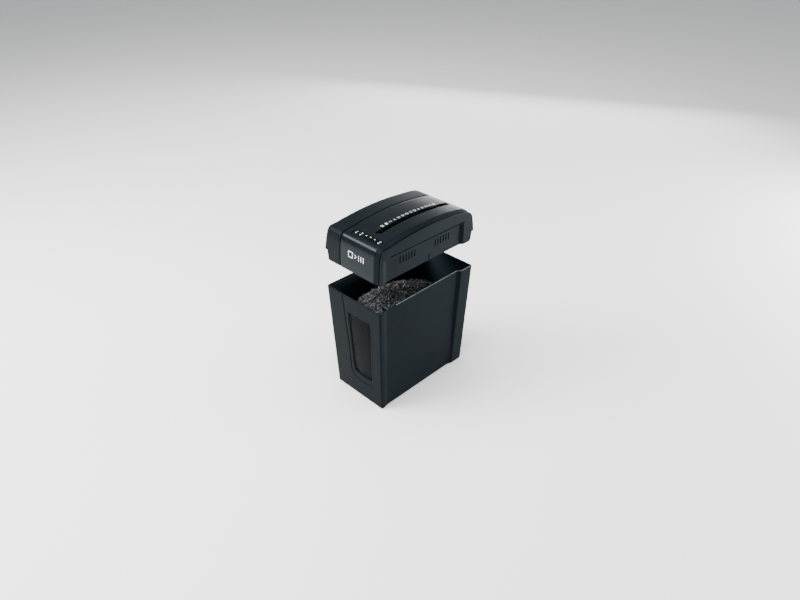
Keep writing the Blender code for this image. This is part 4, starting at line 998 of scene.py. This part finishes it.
# %% Control strip
STRIP_CY = sum(STRIP_Y) / 2
TILT = math.atan(-STRIP_CY / ARCH_RADIUS)
PLATE_SUNK = 0.35


def on_strip(u, v, lift):
    """Across and along on the tilted strip, lifted square to it from the plate's face."""
    height = lift - PLATE_SUNK
    y = STRIP_CY + v * math.cos(TILT) - height * math.sin(TILT)
    z = HEAD_Z + arch(STRIP_CY) + v * math.sin(TILT) + height * math.cos(TILT)
    return np.stack([u, y, z], -1)


def slab(outline, top, bottom, edge, place):
    """Rounded-edge plate over a closed outline: rings from the back edge over the rounding to the face."""
    out = along(outline)
    turn = quarter(5)
    offsets = [(0.0, bottom), *[(edge * (math.cos(a) - 1), top - edge + edge * math.sin(a)) for a in turn]]
    return Skin().tube(np.stack([place(*(outline + out * offset).T, np.full(len(outline), height))
                                 for offset, height in offsets]))


print("control strip tilted by", round(math.degrees(TILT), 1), "degrees")

# %% Plate and slider
KNOB_X = 30.0
plate_outline = rounded_box((STRIP_X[0] + 0.4, -9.6), (STRIP_X[1] - 0.4, 9.6), 2.8)
plate = slab(plate_outline, 0.0, -1.6, 0.5, on_strip).mesh("plate")
slot_hole = rounded_box((KNOB_X - 12, -3), (KNOB_X + 12, 1), 1.0)
plate = cut(plate, [slab(slot_hole, 3.0, -4.0, 0.1, on_strip).mesh("slot_hole")])
piece("control_plate", plate, STRIP_PLASTIC, "head", ["control_strip"])
knob_outline = rounded_box((KNOB_X - 5, -4), (KNOB_X + 5, 2), 1.2)
knob_mesh = slab(knob_outline, 1.35, 0.1, 0.5, on_strip).mesh("knob")
ribs = [slab(rounded(box_path(KNOB_X + x, -1, 0.7, 4.6), [0.3] * 4, 3), 1.9, 1.0, 0.25, on_strip).mesh("rib")
        for x in (-3, -1.5, 0, 1.5, 3)]
stem = slab(rounded(box_path(KNOB_X, -1, 5, 3), [0.6] * 4, 3), 0.6, -5.5, 0.1, on_strip).mesh("stem")
piece("slider_knob", cut(knob_mesh, [stem, *ribs], "UNION"), INNER_PLASTIC, "mode_knob",
      ["mode_slider"])

# %% Lenses and the strip's marks
for number, lens_x in enumerate((-13.0, 2.0, 62.0), start=1):
    lens = slab(np.array(ring_path(lens_x, -1, 2.0, count=28)), 0.45, -3.0, 0.4, on_strip)
    piece(f"lens_{number}", lens, LENS, "head", [f"indicator_lens_{number}"])
strip_marks = Skin()
for kind, u, v, size in (("heat", -13, 5.2, 0.7), ("bin", 2, 5.2, 0.7), ("arrow", 44.5, 4.6, 0.8),
                         ("power", 30, 5.6, 0.7), ("arrow", 17.5, 4.6, 0.8), ("sheet", 62, 5.2, 0.65)):
    flip = -1 if (kind, u) == ("arrow", 17.5) else 1
    draw(strip_marks, kind, lambda a, b, w, u=u, v=v, flip=flip: on_strip(u + flip * a, v + b, w + 0.01),
         size, 0.8)
piece("strip_marks", strip_marks, PRINT, "head", crease=60)

# %% [markdown]
# ## Waste bin
# The bin is a tapered tub. One row of points round its plan is a closed outline that includes the finger
# recess; rows stack from the foot up the outside, over a rolled rim and down the inside. The fine line
# that borders the window is pressed into the front face by a function of the distance to its route.

# %% Bin outline
def front_y(z):
    """Place along Y of the bin's front face at a height."""
    return -(HALF_Y - BIN_TAPER_Y * (1 - z / BIN_HEIGHT))


GROOVE = smooth_line([(-39.5, 312), (-33.2, 236), (-27.5, 164), (-25.2, 92), (-23.4, 78), (-17.5, 66),
                      (-7, 58.6), (10, 55.5), (33, 55.2), (57, 55.2)], 500)
GROOVE_DEEP, GROOVE_HALF = 2.0, 1.25


def groove_depth(x, z):
    """Depth of the pressed line: a bell across its width, from the distance to its route."""
    near = np.min(np.hypot(x[..., None] - GROOVE[:, 0], z[..., None] - GROOVE[:, 1]), axis=-1)
    return GROOVE_DEEP * np.exp(-(near / GROOVE_HALF) ** 2)


def bin_row(z, inset, corner=3.5):
    """Plan outline of the tub at a height, moved inwards by inset, and how many points its front has.

    Points crowd where the pressed line crosses the front and where the recess starts and ends.
    """
    lean = 1 - z / BIN_HEIGHT
    hx, hy = HALF_X - BIN_TAPER_X * lean - inset, HALF_Y - BIN_TAPER_Y * lean - inset
    r = max(corner - inset, 0.6)
    front_x = np.concatenate([[-hx + r, -hx + r + 0.3], np.linspace(-76, -44, 5), np.arange(-42, -12, 0.6),
                              np.linspace(-11, 60, 36), [70, hx - r - 0.3, hx - r]])
    front = np.stack([front_x, np.full(len(front_x), -hy)], -1)
    turn = quarter(8)[1:-1]
    side_y = np.concatenate([[-hy + r, -hy + r + 0.3], np.linspace(-151, -130, 14), np.linspace(-110, 100, 8),
                             np.linspace(111, 127, 18), [hy - r - 0.3, hy - r]])
    depth = recess(side_y * HALF_Y / (hy + inset)) * (1 - RECESS_FADE * lean)
    side = np.stack([hx - depth, side_y], -1)

    def corner_arc(cx, cy, start):
        angle = turn + start
        return np.stack([cx + r * np.cos(angle), cy + r * np.sin(angle)], -1)

    rear = np.array([(x, hy) for x in (hx - r, hx - r - 0.3, 30, -30, -hx + r + 0.3, -hx + r)])
    left = np.array([(-hx, y) for y in (hy - r, hy - r - 0.3, 50, -50, -hy + r + 0.3, -hy + r)])
    parts = [front, corner_arc(hx - r, -hy + r, -math.pi / 2), side, corner_arc(hx - r, hy - r, 0), rear,
             corner_arc(-hx + r, hy - r, math.pi / 2), left, corner_arc(-hx + r, -hy + r, math.pi)]
    return np.concatenate(parts), len(front_x)


print("an outline of the bin has", len(bin_row(BIN_HEIGHT, 0)[0]), "points")

# %% Bin shell
FOOT = BIN_LOW[2]
EDGE = 1.4
foot_turn = quarter(5)
outer_rows = [(FOOT + EDGE * (1 - math.cos(a)), EDGE * (1 - math.sin(a))) for a in foot_turn]
heights = np.concatenate([np.linspace(8, 48, 5), np.arange(50, 62, 0.5), np.arange(62, 96, 1.5),
                          np.linspace(98, BIN_HEIGHT - 1.3, 36)])
outer_rows += [(z, 0.0) for z in heights]
half_wall = BIN_WALL / 2
outer_rows += [(BIN_HEIGHT - half_wall + half_wall * math.sin(a), half_wall * (1 - math.cos(a)))
               for a in np.linspace(0, math.pi, 9)[1:]]
inner_rows = [(z, BIN_WALL) for z in (250.0, 190.0, 130.0, 70.0, FOOT + BIN_WALL + 2)]
inner_rows += [(FOOT + BIN_WALL, BIN_WALL + 2)]
levels = []
for z, inset in outer_rows + inner_rows:
    outline, front_count = bin_row(z, inset)
    row_points = np.column_stack([outline, np.full(len(outline), z)])
    if inset == 0:
        face = row_points[:front_count]
        face[:, 1] += groove_depth(face[:, 0], face[:, 2])
    levels.append(row_points)
tub = Skin().tube(np.array(levels))
print("the tub has", len(levels), "rows")

# %% Window opening, ledge and tab
WINDOW = [(-24.0, 262.0), (-15.0, 73.0), (54.5, 73.0), (61.5, 262.0)]
WINDOW_RADII = [3.0, 20.0, 3.0, 3.0]
WINDOW_Z = 167.5
LEAN = math.atan(BIN_TAPER_Y / BIN_HEIGHT)
window_outline = rounded([(x, z - WINDOW_Z) for x, z in WINDOW], WINDOW_RADII)


def on_front_wall(u, v, lift):
    """Across and up on the bin's leaning front wall, lifted outwards."""
    y = front_y(WINDOW_Z) - v * math.sin(LEAN) - lift * math.cos(LEAN)
    z = WINDOW_Z + v * math.cos(LEAN) - lift * math.sin(LEAN)
    return np.stack([u, y, z], -1)


tub_mesh = cut(tub.mesh("tub"), [slab(window_outline, 6.0, -8.0, 0.1, on_front_wall).mesh("window_hole")])
ledge = box_skin((-HALF_X + 1.2, -150, BIN_HEIGHT - 4.5), (-86.5, 150, BIN_HEIGHT - 1.5))
tab = box_skin((68.5, -134.5, BIN_HEIGHT - 14.8), (HALF_X - 6.2, -129.5, BIN_HEIGHT - 9.2))
pad = box_skin((69.4, -133.6, BIN_HEIGHT - 10), (72.6, -130.4, BIN_HEIGHT - 6.2))
tub_mesh = cut(tub_mesh, [ledge.mesh("ledge"), tab.mesh("tab"), pad.mesh("pad")], "UNION")
piece("waste_bin", tub_mesh, BIN_PLASTIC, "bin", ["bin_body"], crease=20)

# %% Window bezel and pane
BEZEL_REACH = 3.6
bezel_section = [(-0.35, 0.0), (-0.35, 2.4), (-BEZEL_REACH, 2.4), (-BEZEL_REACH, 1.9),
                 (-2.9, 1.35), (-2.0, 0.75), (-1.2, 0.2), (-0.9, 0.0)]
bezel = ring_section(window_outline, bezel_section, lambda u, v, w: on_front_wall(u, v, -w))
piece("window_frame", bezel, DARK_PLASTIC, "bin", ["window_bezel"])
pane_outline = window_outline + along(window_outline) * BEZEL_REACH
pane = slab(pane_outline, -BIN_WALL - 0.3, -BIN_WALL - 2.3, 0.2, on_front_wall)
piece("window_glazing", pane, SMOKED, "bin", ["window_pane"])

# %% [markdown]
# ## Cut paper
# The heap is a lumpy core under several thousand bits; the core is painted near black as the shade beneath
# them. Every bit is a thin closed ribbon 2 mm wide, bent along an arc and laid roughly along the heap, each
# with its own tone in a dark grey range that is painted shade. Where the pane is, more bits stand against
# it, darker still. Bits are kept inside the tub by pressing their points in from the walls.

# %% Heap height
# Each ring of the heap: its height, half its length along X and Y, and its centre.
HEAP_RINGS = np.array([(200, 79, 150, 0, 0), (224, 76, 134, 0, -12), (246, 68, 106, 4, -36),
                       (266, 55, 80, 12, -58), (280, 38, 50, 20, -74), (287, 10, 14, 24, -80)], float)
HEAP_FOOT, HEAP_PEAK = HEAP_RINGS[0, 0], HEAP_RINGS[-1, 0]
SQUARENESS = 2.6
CORE_IN, CORE_SUNK, LUMP = 2.0, 4.5, 0.7


def heap_height(x, y):
    """Highest level whose rounded-square ring still holds the point; the rings shrink towards the peak."""
    level = np.linspace(HEAP_FOOT, HEAP_PEAK, 80)
    hx, hy, cx, cy = (np.interp(level, HEAP_RINGS[:, 0], HEAP_RINGS[:, k]) for k in range(1, 5))
    reach = np.abs((x[..., None] - cx) / hx) ** SQUARENESS + np.abs((y[..., None] - cy) / hy) ** SQUARENESS
    return np.max(np.where(reach <= 1, level, HEAP_FOOT), axis=-1)


def heap_core():
    """Rings of the heap from the tub's floor to its peak, a little inside the bits, with lumps from sines."""
    angle = np.linspace(0, 2 * math.pi, 96, endpoint=False)
    levels = np.array([(6, 72, 142, 0, 0), (110, 75, 146, 0, 0), *HEAP_RINGS.tolist()])
    fine = np.linspace(0, len(levels) - 1, 46)
    z, hx, hy, cx, cy = (np.interp(fine, np.arange(len(levels)), levels[:, k])[:, None] for k in range(5))
    cos, sin = np.cos(angle), np.sin(angle)
    x = cx + hx * np.sign(cos) * np.abs(cos) ** 0.6
    y = cy + hy * np.sign(sin) * np.abs(sin) ** 0.6
    lump = np.sin(x / 4.1 + 1.3 * np.sin(y / 6.3)) + np.sin(y / 3.7 + np.sin(z / 5.0)) + np.sin((x + y) / 9.0)
    return Skin().tube(np.stack([x - CORE_IN * np.sign(x), y, z + lump * LUMP - CORE_SUNK], -1))


piece("heap_core", heap_core(), HEAP_SHADE, "bin", ["paper_shreds"], crease=60)

# %% Bits of paper
POINTS = 5
BITS_CEILING = 299.0
BIT_WIDTH, BIT_THICK, BIT_LENGTH = 2.0, 0.26, (7, 17)
# a power above 1 pushes most bits towards the dark, painted-shade end of the tones
TONE_POWER = 3.0
PANE_X, PANE_HALF, PANE_ROOM = 20.0, 55.0, 2.6


def paper_bits(name, centre, normal, seed, lay=0.5, tones=(0.05, 1.0)):
    """Thin bent ribbons at the centres, lying along the normals but for a random tilt."""
    rng = np.random.default_rng(seed)
    count = len(centre)
    length = rng.uniform(*BIT_LENGTH, count)[:, None]
    curve = rng.normal(0, 0.09, count)[:, None] + 1e-4
    twist = rng.normal(0, 0.05, count)[:, None]
    s = np.linspace(-0.5, 0.5, POINTS)[None, :] * length
    line = np.stack([np.sin(curve * s) / curve, np.zeros_like(s), (1 - np.cos(curve * s)) / curve], -1)
    side = np.stack([np.zeros_like(s), np.cos(twist * s), np.sin(twist * s)], -1)
    up = np.stack([-np.sin(curve * s), -np.sin(twist * s), np.cos(curve * s) * np.cos(twist * s)], -1)
    corners = np.stack([line + side * a * BIT_WIDTH / 2 + up * b * BIT_THICK / 2
                        for a, b in ((-1, -1), (1, -1), (1, 1), (-1, 1))], 2)
    normal = unit(normal + rng.normal(0, lay, normal.shape))
    first = unit(np.cross(normal, rng.normal(0, 1, normal.shape)))
    second = np.cross(normal, first)
    axes = np.stack([first, second, normal], 1)
    points = inside_tub(np.einsum("nsck,nkj->nscj", corners, axes) + centre[:, None, None, :])
    index = np.arange(count * POINTS * 4).reshape(count, POINTS, 4)
    a, b = index[:, :-1], index[:, 1:]
    nxt = [1, 2, 3, 0]
    sides = np.stack([a, a[..., nxt], b[..., nxt], b], -1).reshape(-1, 4)
    caps = np.concatenate([index[:, 0, ::-1], index[:, -1]])
    mesh = bpy.data.meshes.new(name)
    mesh.from_pydata((points.reshape(-1, 3) * MM).tolist(), [], np.concatenate([sides, caps]).tolist())
    tone = rng.uniform(*tones, count) ** TONE_POWER
    attribute = mesh.attributes.new("tone", "FLOAT", "POINT")
    attribute.data.foreach_set("value", np.repeat(tone, POINTS * 4).astype(np.float32))
    return mesh


def inside_tub(points, clear=1.2):
    """Points pressed in from the tub's walls and down below the seated head."""
    lean = 1 - points[..., 2] / BIN_HEIGHT
    hx = HALF_X - BIN_TAPER_X * lean - BIN_WALL - clear
    hy = HALF_Y - BIN_TAPER_Y * lean - BIN_WALL - clear
    depth = recess(points[..., 1]) * (1 - RECESS_FADE * lean)
    x = np.clip(points[..., 0], -hx, hx - depth)
    near_pane = np.abs(points[..., 0] - PANE_X) < PANE_HALF
    y = np.clip(points[..., 1], -hy + PANE_ROOM * near_pane, hy)
    return np.stack([x, y, np.minimum(points[..., 2], BITS_CEILING)], -1)


print("bits stay below", BITS_CEILING, "mm, under a rim at", BIN_HEIGHT.round(1))

# %% Bits on the heap
HEAP_BITS, CORNER_BITS, WINDOW_BITS = 5200, 260, 1500
PROBE = 3.0


def heap_normal(x, y):
    """Direction square to the heap, from heights a probe's length to each side, with steepness capped."""
    along_x = heap_height(x + PROBE, y) - heap_height(x - PROBE, y)
    along_y = heap_height(x, y + PROBE) - heap_height(x, y - PROBE)
    slope = np.clip(-np.stack([along_x, along_y], -1) / 2, -PROBE, PROBE)
    return unit(np.column_stack([slope, np.full(len(x), PROBE)]))


rng = np.random.default_rng(7)
spread = rng.uniform([-80, -152], [80, 140], (HEAP_BITS, 2))
top = heap_height(*spread.T)
corner_bits = rng.uniform([58, -158], [88, -112], (CORNER_BITS, 2))
spread = np.concatenate([spread, corner_bits])
top = np.concatenate([top, rng.uniform(272, 295, CORNER_BITS)])
centres = np.column_stack([spread, top + rng.uniform(-3.0, 3.0, len(top))])
piece("heap_of_bits", paper_bits("heap_of_bits", centres, heap_normal(*spread.T), 11), SHADED_PAPER, "bin")

# %% Bits behind the window
against = rng.uniform([-27, 66], [66, 268], (WINDOW_BITS, 2))
depth_in = rng.uniform(6.6, 9.0, len(against))
window_centres = np.column_stack([against[:, 0], front_y(against[:, 1]) + depth_in, against[:, 1]])
facing = np.tile([0.0, -1.0, 0.0], (len(against), 1))
# painted shade: these bits take only the darker part of the tones, for the shade behind the smoked pane
pressed = paper_bits("bits_at_window", window_centres, facing, 12, 0.12, (0.0, 0.7))
piece("bits_at_window", pressed, SHADED_PAPER, "bin")

# %% [markdown]
# ## Camera, light and floor
# The floor is plain and pale. A broad soft box hangs overhead, and a smaller one at the front left draws
# the highlight along the front bend. A low one behind on the right lights the side panel, and a weak
# panel low behind on the left is what the satin covers mirror.

# %% Stage
def area_light(name, place, target, size, power, colour):
    """Rectangular soft light aimed at a target."""
    light = bpy.data.lights.new(name, "AREA")
    light.shape, light.size, light.size_y = "RECTANGLE", *size
    light.energy, light.color = power, colour
    obj = placed(name, light)
    obj.location = place
    obj.rotation_euler = (Vector(target) - Vector(place)).to_track_quat("-Z", "Y").to_euler()


# Each light's place, the point it is aimed at, its size, power and colour.
LIGHTS = {
    "overhead": ((-0.3, -0.9, 3.2), (-0.1, -0.3, 0), (3.2, 3.2), 255, (1, 1, 1)),
    "key": ((-1.36, -1.88, 1.74), (0, -0.15, 0.45), (1.5, 0.8), 132, (1.0, 0.93, 0.90)),
    "side_panel_fill": ((1.5, 2.0, 0.34), (0.1, 0.05, 0.42), (1.4, 0.5), 130, (1, 1, 1)),
    "rear_panel": ((-1.35, 2.5, 0.72), (0, 0, 0.42), (2.6, 0.8), 31, (0.98, 0.99, 1.0)),
}
for light_name, light_settings in LIGHTS.items():
    area_light(light_name, *light_settings)

world = bpy.data.worlds.new("studio")
bpy.context.scene.world = world
world.use_nodes = True
sky = world.node_tree.nodes["Background"].inputs
sky["Color"].default_value = (0.93, 0.95, 0.97, 1)
sky["Strength"].default_value = 0.5
print("lights:", ", ".join(LIGHTS))

# %% Floor
REACH = 9000
floor_skin = Skin()
floor_skin.grid(np.array([[(x, y, 0) for x in (-REACH, REACH)] for y in (-REACH, REACH)], float))
floor_mesh = floor_skin.mesh("floor")
floor = placed("floor", floor_mesh)
floor_finish = Finish("floor")
floor_mesh.materials.append(floor_finish.wear(Base_Color=(0.94, 0.94, 0.94), Roughness=0.9))
print("floor", 2 * REACH * MM, "m wide")

# %% Camera
AZIMUTH, ELEVATION, ROLL = (math.radians(a) for a in (44.92, 33.15, 0.20))
SENSOR, LENGTH = 36.0, 29.09
CAMERA_PLACE = (1.00382, -1.01169, 1.16068)
camera_data = bpy.data.cameras.new("camera")
camera_data.sensor_width, camera_data.lens = SENSOR, LENGTH
camera = placed("camera", camera_data)
camera.location = CAMERA_PLACE
turn_matrix = (Matrix.Rotation(AZIMUTH, 3, "Z") @ Matrix.Rotation(math.pi / 2 - ELEVATION, 3, "X")
               @ Matrix.Rotation(ROLL, 3, "Z"))
camera.rotation_euler = turn_matrix.to_euler()
bpy.context.scene.camera = camera
print("camera lens", round(camera_data.lens, 2), "mm")
